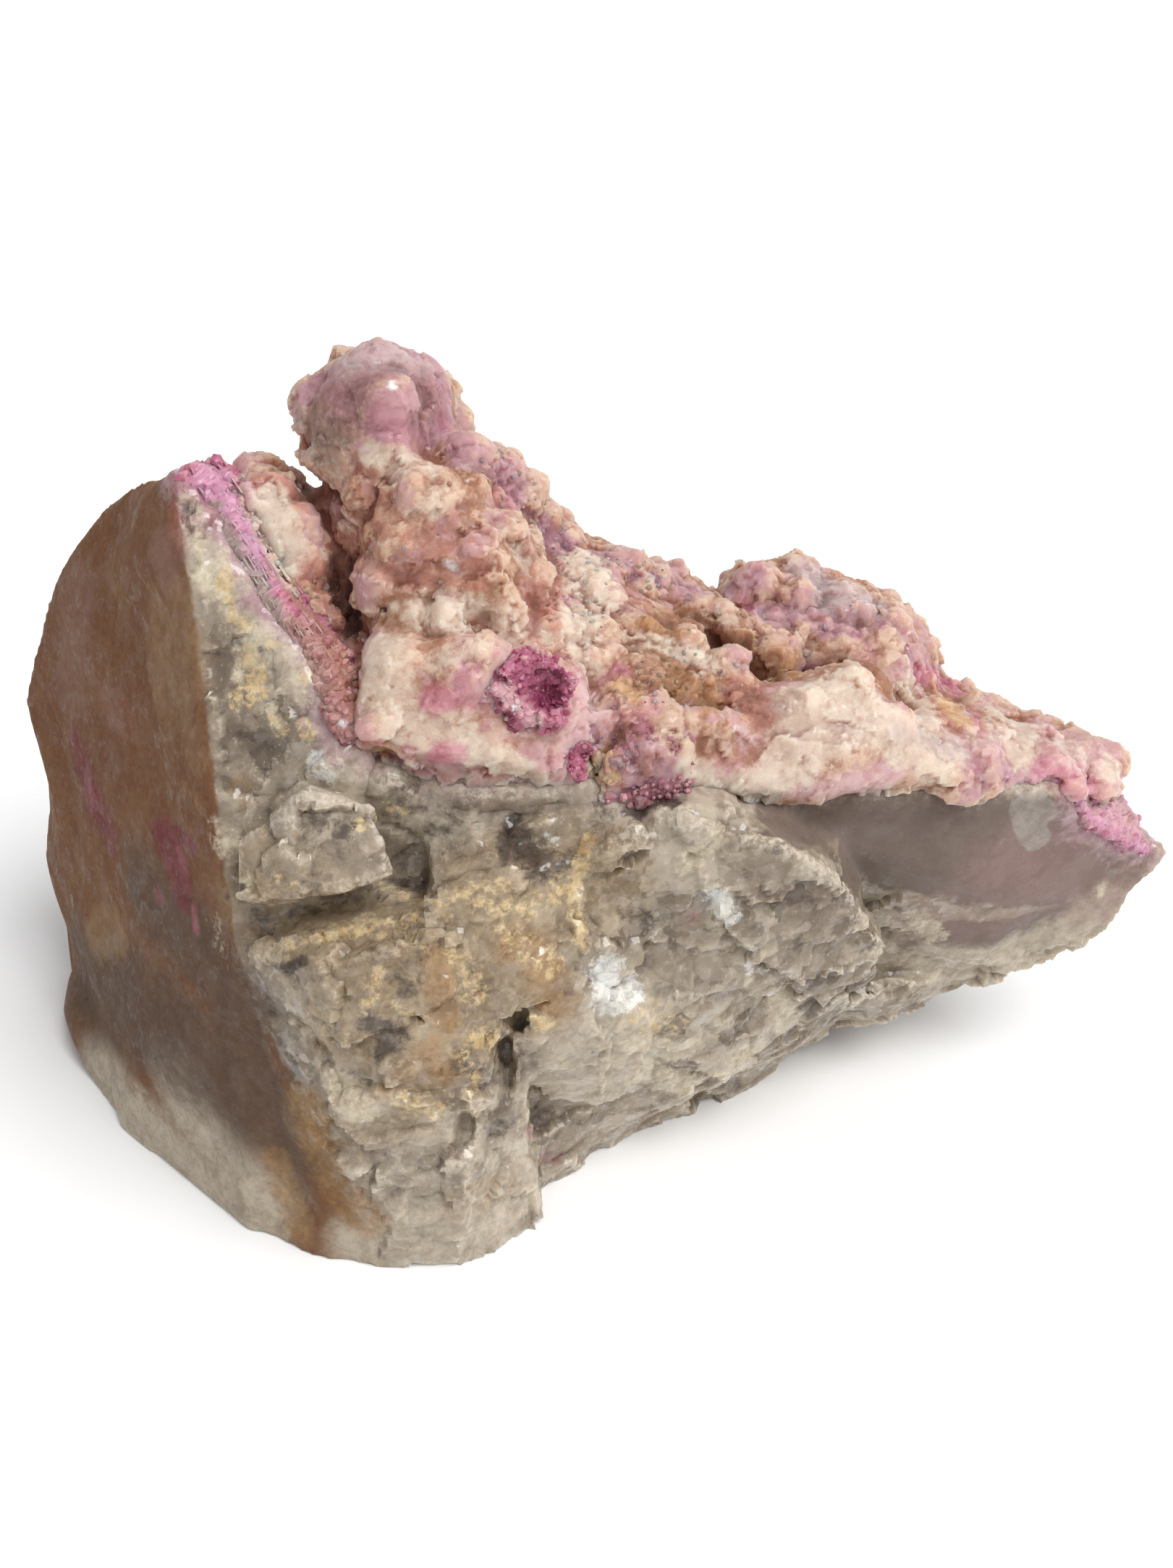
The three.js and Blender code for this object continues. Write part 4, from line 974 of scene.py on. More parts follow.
            (2.6, 0.9, (0.5, 4, 57.5), (1, 0, 56.5), (-0.5, -5, 56)),
            (2, 0.8, (40, 4, 41.5), (42, 2, 41), (40.5, -2.5, 41.5)),
            (2.2, 0.9, (30.5, 2.5, 45), (31.5, -4, 45), (32.5, -7.5, 43.5)),
            (1.1, 0.9, (-1.5, -6.5, 56.5), (0, -7.5, 55), (1, -8, 53.5)),
            (1.7, 1, (-26.5, -0.5, 64.5), (-25.5, -1.5, 62)), (0.7, 1, (-1, -6, 56.5), (-0.5, -6.5, 55.5)),
            (0.7, 1, (0.5, -4, 56), (0.5, -6, 55.5)),
        ],
        "clear": [
            (2.2, 0.6, (-20, 5, 77), (-14, 7, 76.5)),
            (2.4, 0.8, (22, 13, 52), (24, 9.5, 51.5), (27.5, 9, 49.5)), (1.4, 0.5, (17, 7, 50)),
            (1.5, 0.5, (28.5, -7, 47), (34.5, -5, 43.5)), (0.6, 1, (-16, 1, 77)), (0.6, 1, (-11, -6, 63.5)),
        ],
        # painted glints: small white highlight spots
        "paintedGlint": [
            (0.5, 1, (-16, 1, 77)), (0.6, 1, (-11.2, -6, 63.7), (-10.6, -6, 63.2)),
            (0.45, 1, (24.5, 7.5, 50.5)), (0.45, 1, (11, -10.5, 50)), (0.4, 1, (13.5, -10.5, 49.5)),
            (0.4, 1, (5.5, -11, 49.5)), (0.35, 1, (33, -2.5, 45)),
        ],
    },
}
crust = copyNode("crystal_crust", "crystalCrust")
joinInto(crust, copyNode("tourmaline_seam", "seamUnderCrust"))  # the crust runs on over the seam
remesh(crust, crustShape["firstVoxel"])


def readForms():
    paint(crust, crustShape["forms"])
    return [readLayer(crust, name) for name in ("calm", "grainy", "blocky")]


calm, grainy, blocky = readForms()
writeLayer(crust, "lumps", np.clip(0.8 - 0.6 * calm, 0, 1))
writeLayer(crust, "growth", np.clip(blocky * (1 - 0.8 * calm), 0, 1))
brimHosts = [frame["nodes"][name] for name in ("tourmaline_rim", "tourmaline_tip")]
seamEdge = strokeWeight(readPlaces(crust), crustShape["seamReach"], crustShape["seamEdge"])
writeLayer(crust, "brim", np.clip(1.6 * nearness(crust, brimHosts, crustShape["brimReach"]) + seamEdge, 0, 1))
applyNodes(crust, lumpGroup, {"amount": "lumps"}, **crustShape["humps"])
blocks = grow(crust, "growingLumps", "lumps", "growth", **crustShape["blocks"])
brim = grow(crust, "growingBrim", "lumps", "brim", **crustShape["brim"])
joinInto(crust, blocks, brim)
remesh(crust, crustShape["voxel"])
applyModifier(crust, "SMOOTH", factor=0.5, iterations=crustShape["rounding"])
swell(crust, crustShape["swelling"])
places = readPlaces(crust)
for reach, shift, line in crustShape["lips"]:
    places += strokeWeight(places, reach, line)[:, None] * np.array(shift)
writePlaces(crust, places)
calm, grainy, blocky = readForms()
seamEdge = strokeWeight(readPlaces(crust), crustShape["seamWearReach"], crustShape["seamEdge"])
wearDown(crust, np.clip(0.8 * calm + 0.25 * blocky + 0.6 * seamEdge, 0, 0.85), crustShape["wear"])
writeLayer(crust, "facets", np.clip(1.0 - 0.6 * calm - 0.2 * grainy - 0.25 * blocky, 0, 1))
writeLayer(crust, "grains", np.clip(0.4 + grainy - 0.2 * calm, 0, 1))
breakUp(crust, "facets", crustShape["facets"])
applyNodes(crust, lumpGroup, {"amount": "grains"}, **crustShape["grains"])
breakUp(crust, "grains", crustShape["fineFacets"])
smoothByAngle(crust, crustShape["smoothAngle"])
measureCrest(crust, "crest", *crustShape["crest"])
measureCrest(crust, "edge", *crustShape["edge"])
paint(crust, crustShape["strokes"])
paint(crust, crustShape["growth"])
points = grow(crust, "crustPoints", "points", "druse", **crustShape["points"])
sand = grow(crust, "crustSand", "grains", "sand", **crustShape["sand"])
for piece in (points, sand):
    paint(piece, crustShape["strokes"])
print("stage: crust shaped")


# ---- tourmaline

tourmalineShape = {
    "bodies": {  # piece, voxel, rounds of smoothing, swelling and lowering in mm
        "tourmaline_rim": ("tourmalineRim", 0.35, 14, 0.9, 1.0),
        "tourmaline_nest": ("tourmalineNest", 0.25, 2, 0.35, 1.0),
        "tourmaline_eye": ("tourmalineEye", 0.2, 4, 0.2, 0.1),
        "tourmaline_seam": ("tourmalineSeam", 0.3, 6, 0.1, 0.0),
        "tourmaline_tip": ("tourmalineTip", 0.35, 14, 0.7, 0.5),
    },
    "outward": (-0.15, -0.72, 0.67),  # the way they face, and are lowered from
    "bowls": {  # centre, the way it opens, level, depth and radius of a shallow bowl
        "tourmaline_nest": ((-3.6, -12.5, 55.0), (0.1, -0.85, 0.5), 1.3, 2.0, 2.6),
        "tourmaline_eye": ((-0.1, -12.8, 48.1), (0.1, -0.93, 0.3), 1.2, 0.8, 1.6),
    },
    "facets": [(1.5, 0.6, 0.35, 0.6, (1, 1, 1)), (0.8, 0.5, 0.16, 0.4, (1, 1, 1))],
    "crest": (16, 0.35),
    "growth": {  # node, kind of crystal, where it grows, spacing, smallest, largest, sinking, seed
        "rimNeedles": ("tourmaline_rim", "needles", "upper", 0.38, 0.14, 0.34, 0.9, 5),
        "rimGrains": ("tourmaline_rim", "grains", "lower", 0.6, 0.4, 1.4, 0.15, 15),
        "nestGrains": ("tourmaline_nest", "grains", "sugary", 0.4, 0.25, 0.6, 0.1, 16),
        "nestPrisms": ("tourmaline_nest", "prisms", "all", 0.5, 0.25, 0.8, 0.6, 6),
        "eyePrisms": ("tourmaline_eye", "prisms", "all", 0.5, 0.3, 0.6, 0.6, 8),
        "seamGrains": ("tourmaline_seam", "grains", "core", 0.45, 0.4, 0.9, -0.4, 9),
        "tipGrains": ("tourmaline_tip", "grains", "all", 0.5, 0.3, 0.9, 0.3, 10),
    },
    "lean": {
        "rimNeedles": {"tilt": 0.08, "along": (15, -15, -17), "aligned": True},
        "nestPrisms": {"tilt": 1.2},
        "eyePrisms": {"tilt": 1.2},
    },
    "brim": {"spacing": 0.5, "smallest": 0.3, "sink": 0.15, "seed": 17},
    "brimLargest": {"tourmaline_rim": 1.2, "tourmaline_tip": 1.1, "tourmaline_nest": 0.7},
    "brimReach": 1.0,
    "flushReach": 2.2,  # how far their colour spreads into the crust
    "zones": {  # where each kind of crystal grows
        "upper": [(2.6, 1, (-35, 5, 69), (-29, -3, 63), (-25, -7, 58))],
        "core": [
            (1.3, 1, (3.5, -14, 44.5), (6, -14, 44.5), (8, -13.5, 45)),
            (0.7, 0.9, (5.5, -12, 50.5), (6.5, -12, 49.5)),
        ],
        "sugary": [
            (0.7, 1, (-6.5, -14.5, 55.5), (-5.5, -14.5, 54.5), (-5, -15, 53.5)),
            (0.6, 1, (-4, -15, 53.5), (-4, -14, 52)), (0.5, 0.8, (-4.5, -13.5, 57.5), (-5, -14.5, 56.5)),
        ],
    },
    "strokes": {
        "mauve": [(3.5, 0.8, (4, -13.5, 49.5), (8, -12.5, 48), (8, -13, 44), (3, -14, 44))],
        "stone": [
            (1.2, 0.95, (-32.5, -0.5, 65.5), (-30, -3, 62.5), (-27.5, -6, 59.5), (-25, -8.5, 57),
                (-22.5, -11.5, 54)),
        ],
        "rosy": [
            (1.2, 0.9, (46, -2.5, 34.5), (49, -2.5, 31), (53, -1, 28)),
            (1, 0.8, (54.5, 1.5, 29), (52, 1, 33.5)),
        ],
        "lilac": [
            (1.8, 1, (-32.5, 2, 67.5), (-31, 0, 66), (-29, -2.5, 64), (-27.5, -4.5, 61.5)),
            (3, 0.7, (47, -2, 38), (52, 0, 33), (55, 2, 29)),
        ],
        "faded": [
            (3.2, 0.85, (-23.5, -8.5, 56.5), (-21.5, -10.5, 54), (-19, -14, 50)),
            (0.8, 0.7, (-27.5, -3, 62), (-24.5, -6, 58.5)),
            (1.1, 0.9, (-25, -4.5, 60), (-23, -7, 57.5), (-20.5, -10.5, 54.5)),
        ],
        "salmon": [
            (1.4, 0.7, (-21.5, -8, 56), (-19, -12.5, 53)),
            (0.7, 0.8, (-4.5, -14.5, 57.5), (-5, -14.5, 56.5)),
        ],
        "cream": [(0.9, 0.9, (-30, 2, 67), (-27.5, -1.5, 63.5), (-25, -4.5, 60.5))],
        "orange": [(1.5, 0.75, (2.5, -10, 47.5), (2.5, -13.5, 47.5), (2, -12, 45))],
        "deep": [
            (1.5, 1, (-2.5, -14.5, 57.5), (-3, -13.5, 55)),
            (0.5, 0.8, (-7.5, -12.5, 57.5), (-7.5, -14.5, 56), (-7, -14.5, 52)),
            (0.7, 0.6, (-6.5, -14.5, 53), (-6, -14, 52)),
        ],
        "pale": [
            (1.2, 0.9, (-6.5, -14.5, 55.5), (-5.5, -14.5, 54.5)),
            (0.9, 0.8, (-4, -15, 53.5), (-4, -13.5, 51.5)), (0.6, 0.6, (-5.5, -14, 58.5), (-4.5, -12.5, 58)),
            (2, 0.6, (48, -1, 37), (53, 1, 31)),
        ],
        # painted glints: small white highlight spots
        "paintedGlint": [
            (0.35, 1, (-5.5, -14.5, 54)), (0.3, 1, (-4, -14.5, 56)), (0.3, 1, (-6.5, -14.5, 56.5)),
            (0.35, 1, (-20.5, -14, 52)),
        ],
    },
}
bodies = {}
for nodeName, (pieceName, voxel, rounding, swelling, lowering) in tourmalineShape["bodies"].items():
    body = copyNode(nodeName, pieceName)
    remesh(body, voxel)
    applyModifier(body, "SMOOTH", factor=0.5, iterations=rounding)
    swell(body, swelling)
    writePlaces(body, readPlaces(body) - lowering * np.array(tourmalineShape["outward"]))
    bodies[nodeName] = body
for nodeName, bowl in tourmalineShape["bowls"].items():
    pressFlat(bodies[nodeName], *bowl)
for body in bodies.values():
    writeLayer(body, "all", 1.0)
    writeLayer(body, "tone", 0.4)
    paint(body, tourmalineShape["zones"])
    writeLayer(body, "lower", 1 - readLayer(body, "upper"))
    breakUp(body, "all", tourmalineShape["facets"])
    measureCrest(body, "crest", *tourmalineShape["crest"])
grown = {}
for name, (nodeName, *values) in tourmalineShape["growth"].items():
    grown[name] = grow(bodies[nodeName], name, *values, **tourmalineShape["lean"].get(name, {}))
brims = []
for nodeName, largest in tourmalineShape["brimLargest"].items():
    host = bodies[nodeName]
    near = nearness(host, [crust], tourmalineShape["brimReach"])
    writeLayer(host, "border", np.clip(1.3 * near, 0, 1))
    brims.append(grow(host, "brimSand", "grains", "border", largest=largest, **tourmalineShape["brim"]))
joinInto(*brims)
paint(brims[0], crustShape["strokes"])
print("stage: tourmaline shaped")
for nodeName, body in bodies.items():
    paint(body, tourmalineShape["strokes"])
    finishPiece(body, tourmalineMaterial, nodeName)
for name, piece in grown.items():
    paint(piece, tourmalineShape["strokes"])
    writeLayer(piece, "crest", 0.5)
    finishPiece(piece, tourmalineMaterial, tourmalineShape["growth"][name][0])
flushing = [body for name, body in bodies.items() if name != "tourmaline_seam"]
for piece in (crust, points, sand, brims[0]):
    writeLayer(piece, "flush", 0.8 * nearness(piece, flushing, tourmalineShape["flushReach"]))
    finishPiece(piece, crustMaterial if piece is crust else crystalMaterial, "crystal_crust")


# ---- quartz block

quartzShape = {
    "voxel": 0.52,
    "swelling": 0.2,
    "creviceSwelling": 0.5,  # closes the crevices beside the crust
    "creviceReach": 1.5,
    "touchReach": 2.6,
    "hazeReach": 3.0,
    "smoothAngle": 30,
    "crest": (20, 0.5),
    "endBlend": 1.6,
    "brownReach": 16.0,
    "facets": [  # size, steepness, step, warp and stretch, from coarse to fine
        (7.5, 0.22, 0.35, 4.0, (0.9, 1.0, 1.2)),
        (3.2, 0.20, 0.10, 2.0, (0.9, 1.0, 1.2)),
        (1.3, 0.15, 0.04, 1.0, (1.0, 1.0, 1.0)),
    ],
    "endPlanes": [  # a point and the outward direction of each
        ((-33.3, -6.6, 19.9), (-0.978, -0.207, -0.010)),
        ((-19.6, -24.8, -2.5), (-0.896, -0.375, -0.240)),
    ],
    "strokes": {
        "inclusion": [
            (1.5, 1, (41.5, -4.5, 37), (42, -3.5, 34.5), (43.5, -2.5, 32)),
            (1, 0.8, (43, -4, 37.5), (44.5, -3, 35)), (0.9, 0.6, (52.5, 1, 25)),
        ],
        "plum": [
            (2.4, 0.8, (-50, 9, 34.5), (-48, 4, 32), (-45.5, 1, 30.5)),
            (2.2, 1, (-38.5, -8.5, 36), (-37.5, -9.5, 35), (-36.5, -11.5, 32.5)),
            (1, 0.8, (-37, -9.5, 37.5), (-35, -12.5, 38)),
        ],
        "rust": [
            (0.7, 0.7, (-31, -5, 62), (-31, -5.5, 61), (-30.5, -6.5, 59.5)),
            (0.6, 0.65, (-30.5, -7, 59), (-29.5, -7, 58), (-29, -7.5, 58)),
            (0.6, 0.6, (-27.5, -8, 57), (-26, -8.5, 56.5)),
            (1.1, 0.7, (-29, -8.5, 55.5), (-28.5, -9.5, 54), (-28.5, -10.5, 53)),
            (0.6, 0.72, (-30, -10, 53), (-30, -10.5, 52)),
            (0.7, 0.6, (-26.5, -11.5, 51.5), (-26, -12.5, 50.5)),
            (0.7, 0.55, (-24, -9, 55.5), (-23.5, -10.5, 54.5)),
            (0.7, 0.6, (-24, -12.5, 51), (-23.5, -13, 50.5)),
            (0.7, 0.6, (-26, -20.5, 40.5), (-24.5, -21, 40.5), (-21.5, -16.5, 36.5), (-18.5, -14.5, 35),
                (-15.5, -17.5, 36), (-12.5, -21.5, 38.5), (-9.5, -21, 39.5), (-6.5, -21, 40)),
            (0.7, 0.62, (-25.5, -21.5, 34), (-21, -21.5, 35), (-15.5, -21.5, 37), (-11.5, -22, 37.5)),
            (1.8, 0.3, (-20.5, -20.5, 35.5), (-14, -23, 36)),
            (1.2, 0.42, (-9, -21.5, 38.5), (-5, -21.5, 37.5), (-1.5, -19, 38.5)),
            (0.8, 0.72, (1, -16, 41.5), (0, -18.5, 40), (-0.5, -19, 37), (0, -20.5, 35), (0, -20.5, 33.5)),
            (1.3, 0.5, (-12.5, -22.5, 36), (-10, -24, 33.5), (-9.5, -24, 30.5)),
            (0.7, 0.6, (-17.5, -25.5, 34), (-18.5, -26.5, 31)), (0.7, 0.6, (-16, -26, 31), (-13.5, -25, 29)),
            (0.9, 0.72, (-9.5, -25, 26.5), (-7.5, -24, 25)),
            (0.6, 0.7, (-19, -19, 45), (-16.5, -14.5, 44), (-15.5, -14.5, 43.5)),
            (1.4, 0.5, (-15.5, -27.5, 21), (-13, -27, 19.5)), (1.4, 0.4, (-6.5, -22.5, 36), (-2.5, -22, 32)),
            (0.8, 0.72, (-4.5, -22.5, 26.5), (-3, -22, 25)), (1.8, 0.35, (5, -19, 24), (8.5, -17, 20.5)),
            (0.9, 0.5, (-11, -25.5, 25.5), (-9.5, -25, 22), (-10, -26, 18)),
        ],
        "amber": [
            (1.4, 1, (-12.5, -24.5, 34.5), (-12, -25.5, 31), (-12, -25, 28)),
            (1.5, 0.8, (-13.5, -26.5, 26), (-11.5, -26.5, 23.5)),
            (1.9, 0.8, (-4, -22, 34), (-3, -22, 30.5), (-2, -21.5, 27)),
            (1.6, 0.8, (-28.5, -22, 9), (-27.5, -23, 5), (-26.5, -24.5, 2)),
            (2.4, 0.9, (-25, -25, 18), (-24, -25.5, 13), (-22.5, -25.5, 9), (-20, -27, 6)),
            (1.4, 0.7, (-5, -22, 35.5), (-6.5, -23, 34.5)),
            (1.2, 0.5, (-17, -27.5, 22.5), (-15.5, -27.5, 24.5)),
            (1.1, 0.4, (-30, -14, 46), (-29.5, -14.5, 45)), (1.1, 0.4, (-35, -11, 43.5), (-33.5, -13.5, 43)),
            (2.1, 0.3, (-7.5, -24.5, 7.5), (-11, -28, 9)),
        ],
        "cream": [
            (1.3, 0.7, (-33, -4.5, 62), (-31.5, -5.5, 60.5)),
            (1.3, 0.45, (-28, -8.5, 56.5), (-27.5, -10, 54), (-26.5, -12, 51.5)),
            (1.3, 0.7, (-29, -7, 58), (-26.5, -8.5, 56)),
            (1.4, 0.6, (-25.5, -9, 55.5), (-23.5, -11, 54), (-24, -11, 53)),
            (0.7, 0.8, (-30, -8, 56), (-30, -9, 54)), (1, 0.5, (-34.5, -0.5, 66.5), (-33.5, -1, 65.5)),
            (1.8, 1, (-21.5, -26.5, 21.5), (-19.5, -27, 20)),
            (1.5, 1, (5, -19, 20), (8.5, -16, 16.5), (10.5, -15.5, 17)),
            (1.9, 0.7, (6.5, -15.5, 14), (11, -12.5, 9), (16.5, -11, 12.5)),
            (1.7, 0.9, (19, -12, 19.5), (20.5, -9, 13.5)), (0.6, 1, (15.5, -14.5, 27), (15.5, -14.5, 24)),
            (0.8, 1, (13, -17, 36), (12.5, -15.5, 31)), (1.7, 0.35, (-33, -16.5, 32), (-32, -18, 30)),
            (1.4, 0.6, (32.5, -3.5, 23.5), (35, -2, 20)), (1.2, 0.5, (51.5, 1.5, 23)),
            (1.2, 0.5, (-33.5, -3, 64.5), (-31.5, -4, 63)),
            (0.8, 0.6, (-30, -8.5, 55.5), (-29.5, -9.5, 54.5)),
            (1.1, 0.7, (9, -16.5, 39), (10.5, -17, 40.5), (12, -16.5, 42)),
            (1.7, 0.5, (-32, -15.5, 41.5), (-30, -20, 39.5)),
        ],
        # darker spots, and painted shade in recesses under the crust and in pits
        "darkAndRecessShade": [
            (0.8, 0.45, (-27.5, -8.5, 56), (-27.5, -9, 55.5)),
            (1.6, 0.4, (-28.5, -12.5, 49.5), (-26.5, -13, 49)),
            (1.8, 0.85, (-5.5, -16.5, 41.5), (-3.5, -19, 41), (-1.5, -19, 41)),
            (0.8, 0.9, (-6, -13.5, 42), (-6.5, -19.5, 41.5)), (2, 0.45, (-10.5, -25, 24), (-8, -24.5, 21)),
            (1.3, 0.6, (-7.5, -24, 24.5), (-6.5, -23.5, 20.5)),
            (2.4, 0.4, (-22, -19, 44), (-17, -17, 44), (-12, -15, 43)),
            (1.1, 1, (2, -14, 43), (5, -14, 42.5), (8, -15, 44)),
            (0.6, 1, (-20.5, -19.5, 44.5), (-19, -19, 45.5), (-17.5, -18.5, 46)),
            (0.6, 0.8, (-23, -19, 45.5), (-22, -19.5, 45)),
            (0.6, 1, (-27.5, -21, 32), (-26, -22.5, 32), (-24, -23.5, 33.5)),
            (1, 0.45, (-14, -14.5, 44), (-13.5, -14.5, 41)),
            (1.1, 0.3, (-6.5, -22.5, 25), (-5.5, -22, 22), (-6.5, -21.5, 17), (-6, -22.5, 15.5)),
            (1.4, 0.5, (-8, -24.5, 15), (-4.5, -17, 9.5)),
            (1.2, 0.7, (-18.5, -27, 29.5), (-15.5, -26, 27.5), (-17.5, -26.5, 26)),
            (1.5, 0.5, (-14, -25, 34.5), (-15, -25.5, 33)), (1, 0.6, (-28.5, -18, 34.5), (-28, -18.5, 32.5)),
            (0.7, 0.5, (-26, -17.5, 34.5), (-23.5, -18, 34.5)),
            (0.5, 0.8, (-17, -14, 35.5), (-15.5, -15, 35.5)),
            (0.4, 0.8, (-31.5, -17.5, 36), (-29.5, -20, 39)), (1, 0.5, (26, -8, 18), (29.5, -3, 14)),
            (1.2, 0.5, (4.5, -17.5, 34.5), (6.5, -17, 33)), (0.7, 0.7, (-16.5, -14.5, 46), (-14.5, -14, 46)),
        ],
        "magenta": [
            (1.2, 0.55, (-34.5, 1, 67.5), (-33, 1, 66), (-32, -1, 65.5)),
            (0.9, 0.45, (-35, -1.5, 65.5), (-34, -2, 65)), (0.7, 0.5, (-48.5, 5, 33), (-47.5, 3.5, 31.5)),
            (0.8, 0.6, (-36.5, -10.5, 36), (-36, -11.5, 34.5)), (1, 0.6, (-39.5, -8.5, 29.5)),
            (0.6, 1, (-35, -13.5, 32), (-35, -14.5, 30)), (0.7, 0.6, (-5, -21, 12), (-4.5, -18.5, 8.5)),
            (0.8, 0.5, (-4, -17.5, 5.5), (-2.5, -16.5, 3.5)), (0.6, 0.5, (-9.5, -24, 30.5)),
            (0.9, 0.45, (10, -16, 33)), (1.1, 0.35, (-35, -3.5, 63.5), (-35.5, -1, 66)),
            (2.8, 0.2, (-42.5, 0.5, 43), (-45, 4.5, 43)), (0.9, 0.7, (44.5, -3.5, 38.5), (46, -3, 37)),
            (0.8, 0.6, (33, -7.5, 40.5), (34, -7.5, 39)),
        ],
        "rosy": [
            (2, 0.5, (-37, -2, 62.5), (-36, -3.5, 60.5)),
            (6, 0.65, (41.5, -3.5, 29), (49.5, 0, 27), (54.5, 2, 23)),
            (5, 0.45, (35, -3, 23.5), (42, -2.5, 24)), (4.1, 0.35, (-48.5, 12, 50.5), (-50, 11, 40.5)),
        ],
        "smoky": [
            (0.5, 0.9, (43.3, -3.5, 37), (43, -3.5, 36)),
            (2.8, 1, (18, -12, 41), (26.5, -8.5, 39), (33.5, -6.5, 37.5), (47, -2, 34)),
            (4.1, 1, (25.5, -7.5, 33.5), (34, -6.5, 31), (48, -0.5, 26)),
            (2.8, 0.8, (37, -2, 20), (47, 1, 19.5), (53.5, 2, 22.5)),
        ],
        # glassy spots, painted near-white as glints
        "glassAndPaintedGlint": [
            (1.4, 0.9, (12, -17, 35.5), (13, -17.5, 33.5)),
            (0.45, 0.7, (15.5, -16.5, 29.5), (15.5, -15, 25.5)),
            (1.2, 1, (-22.5, -14, 48), (-22, -14.5, 47.5)), (0.7, 1, (-21, -14.5, 46)),
            (0.3, 1, (-21, -18.5, 46.5)), (1.7, 1, (2, -19, 29.5), (2.5, -20, 26.5), (4, -18.5, 26)),
            (0.4, 1, (6.5, -17, 31.5)), (0.3, 1, (-3.5, -22, 33.5)),
            (0.8, 0.3, (-3.5, -16.5, 41.5), (-2.5, -16, 41.5)), (0.7, 0.6, (12, -17, 36)),
            (0.3, 1, (-7.5, -22.5, 18.5)), (0.4, 1, (-22, -14, 48.5)), (0.35, 1, (-23.5, -14, 47.5)),
            (0.35, 1, (-20.5, -14.5, 46)), (0.35, 1, (-8, -24.5, 26)), (0.35, 1, (0, -18.5, 37.5)),
            (0.35, 1, (25.5, -9.5, 30)),
        ],
        "pale": [
            (2.8, 0.9, (-31.5, -2.5, 64.5), (-30, -5, 61.5), (-27.5, -7, 58), (-25, -9, 55.5)),
            (4.5, 1, (-1, -21, 23.5), (4, -19.5, 23.5)), (5, 1, (-1, -19.5, 16.5), (3, -18, 14.5)),
            (5, 0.9, (-13.5, -28, 6), (-7, -24, 5), (-6, -22.5, 9.5)),
            (3.5, 0.8, (-20.5, -27, 2), (-12.5, -28, 4)), (5, 0.5, (-17.5, -27, 13.5), (-12, -27.5, 12.5)),
            (5, 0.9, (-38.5, -15, 11.5), (-35, -18, 7), (-31, -22.5, 4.5)),
            (5, 1, (-48.5, -4, 1.5), (-41, -13.5, 0.5), (-33, -22, 0)),
            (3.5, 0.9, (35.5, -0.5, 15), (45.5, 1.5, 15), (53, 2, 20.5)),
            (3, 0.6, (-23.5, -14, 47.5), (-21, -14.5, 46.5)),
            (2.6, 0.7, (-19, -14.5, 44), (-14.5, -14.5, 42), (-9.5, -14.5, 41)),
        ],
        "shade": [
            (0.9, 0.6, (-28, -4.5, 62), (-27.5, -5, 61)), (0.8, 0.5, (-25.5, -6, 56), (-24, -8.5, 56)),
            (0.8, 0.6, (-30.5, -11.5, 50.5), (-30, -12, 50)),
            (3, 0.4, (16.5, -16.5, 37), (20, -16, 35), (24, -13, 29)),
            (5, 0.8, (-41.5, -6.5, 28.5), (-36.5, -13.5, 29), (-31, -19.5, 27), (-31.5, -19.5, 20)),
            (6.5, 0.9, (-51.5, 5, 9.5), (-42.5, -9.5, 16), (-35.5, -17, 16.5), (-27, -23, 13.5)),
            (1.6, 0.4, (-18, -14.5, 46), (-13, -14.5, 44.5), (-8, -14, 43.5)),
            (2.2, 0.5, (23.5, -9.5, 20), (28, -6.5, 18.5), (32, -4.5, 19)),
            (2.5, 0.6, (22, -9, 40.5), (30, -7.5, 39.5), (35.5, -6, 38.5)),
        ],
        "tan": [
            (2.6, 0.9, (-48.5, 1, 17.5), (-45.5, -2.5, 20)),
            (2.4, 0.7, (-35.5, -6, 60), (-34.5, -8.5, 54), (-33.5, -10.5, 47)),
            (4, 0.7, (-37, -3, 54.5), (-36.5, -6, 50)),
        ],
        "warm": [
            (6, 0.9, (-26, -19, 37), (-16, -24, 33), (-8, -22, 37), (0, -19, 38)),
            (5, 0.9, (-20, -26, 29), (-12, -26, 25), (-5, -23, 28)),
            (4, 0.7, (-24, -25, 16), (-16, -28, 20)),
        ],
    },
}


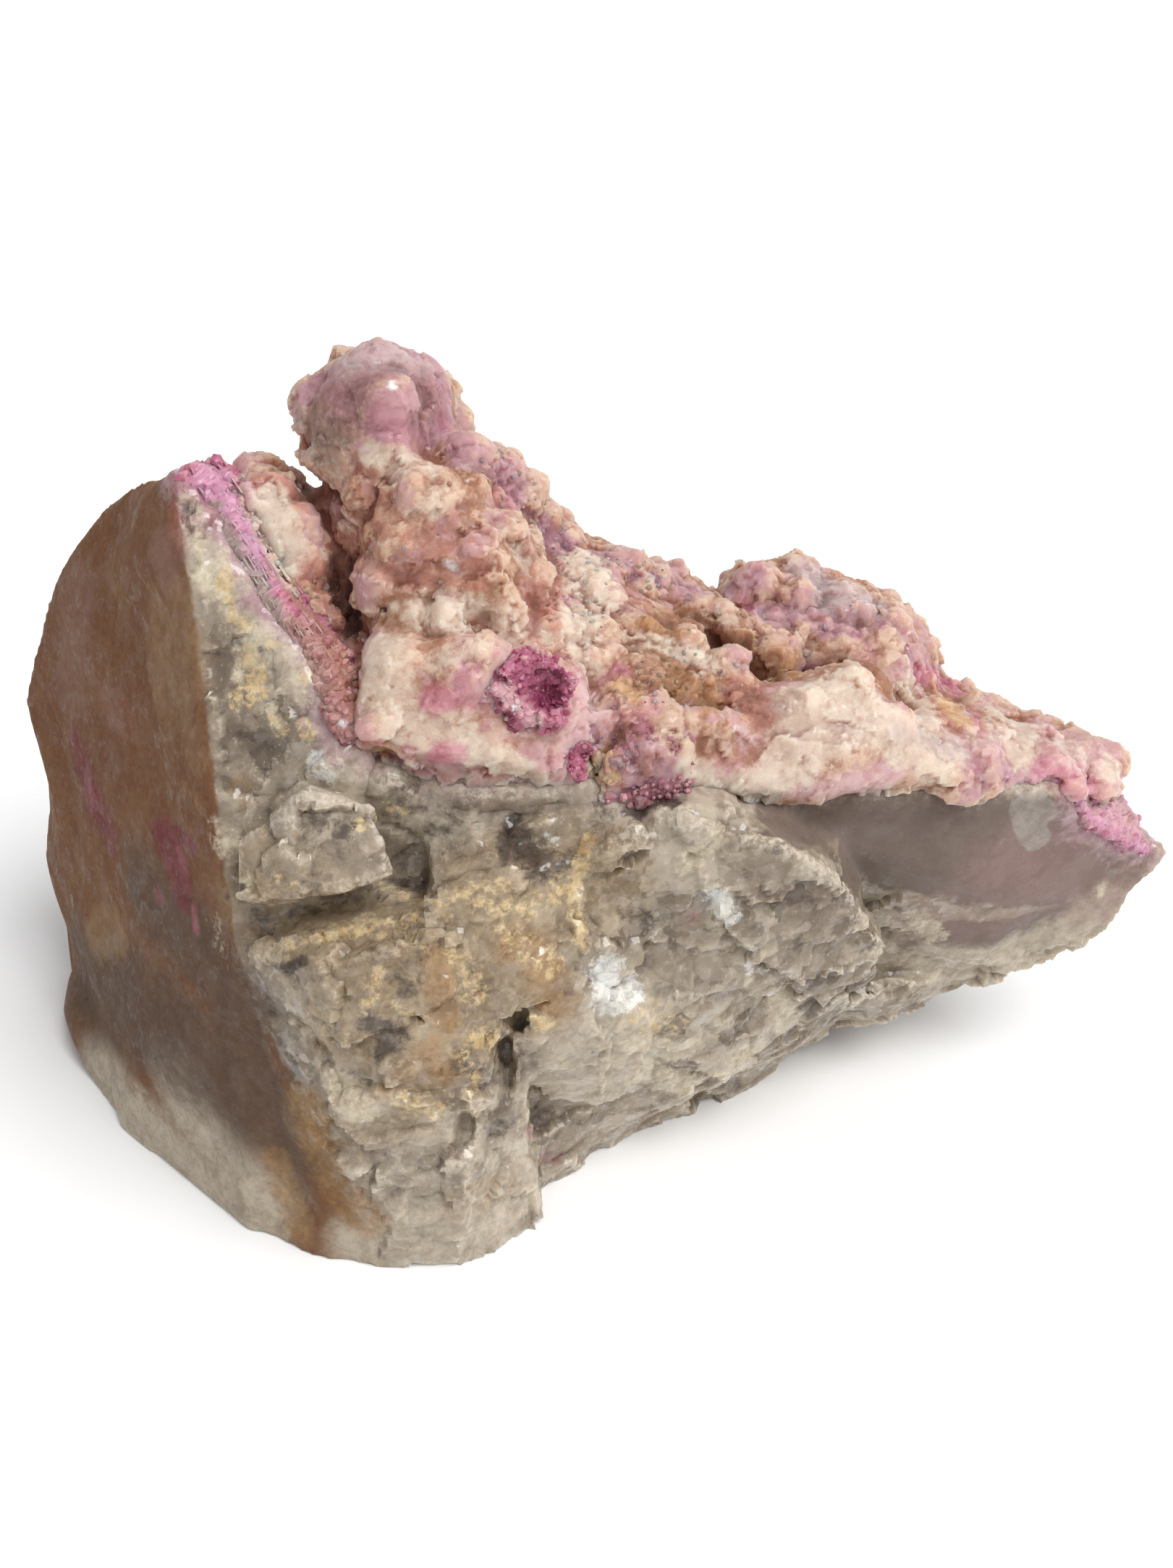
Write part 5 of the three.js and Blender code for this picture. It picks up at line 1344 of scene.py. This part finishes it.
def endMask(places, blend=quartzShape["endBlend"]):  # 1 on the flat end face, 0 on the broken front
    mask = np.zeros(len(places))
    for point, outward in quartzShape["endPlanes"]:
        mask = np.maximum(mask, 0.5 + (places - np.array(point)) @ np.array(outward) / blend)
    return np.clip(mask, 0, 1)


def turnedBack(piece):  # 1 on faces that look to the back
    return np.clip((readNormals(piece)[:, 1] - 0.2) / 0.4, 0, 1)


quartz = copyNode("quartz_block", "quartzBlock")
remesh(quartz, quartzShape["voxel"])
places = readPlaces(quartz)
calm = 0.93 * endMask(places) * (1 - 0.8 * turnedBack(quartz))
for radius, strength, *line in quartzShape["strokes"]["smoky"]:
    calm = np.maximum(calm, 0.95 * strokeWeight(places, radius * 1.1, line))
writeLayer(quartz, "rough", 1 - calm)
breakUp(quartz, "rough", quartzShape["facets"])
wearDown(quartz, 0.8 * calm, 12)
edges = [bodies["tourmaline_rim"], bodies["tourmaline_tip"]]
near = nearness(quartz, [crust, *edges], quartzShape["creviceReach"])
swell(quartz, quartzShape["swelling"] + quartzShape["creviceSwelling"] * near)
wearDown(quartz, np.clip(2.0 * near, 0, 0.8), 6)
places = readPlaces(quartz)
places[:, 2] = np.maximum(places[:, 2], 0.0)
writePlaces(quartz, places)
smoothByAngle(quartz, quartzShape["smoothAngle"])
paint(quartz, quartzShape["strokes"])
measureCrest(quartz, "crest", *quartzShape["crest"])
behind = turnedBack(quartz)
front = (1 - endMask(places)) * (1 - 0.7 * readLayer(quartz, "smoky"))
brownBehind = 0.55 * endMask(places, quartzShape["brownReach"])
writeLayer(quartz, "brown", endMask(places) * (1 - behind) + brownBehind * behind)
writeLayer(quartz, "touch", 0.85 * nearness(quartz, [crust], quartzShape["touchReach"]) * front)
writeLayer(quartz, "haze", 0.9 * nearness(quartz, edges, quartzShape["hazeReach"]))
finishPiece(quartz, quartzMaterial, "quartz_block")

for stock in stocks.values():
    for single in list(stock.objects):
        bpy.data.objects.remove(single)
    bpy.data.collections.remove(stock)
print("stage: all pieces made")
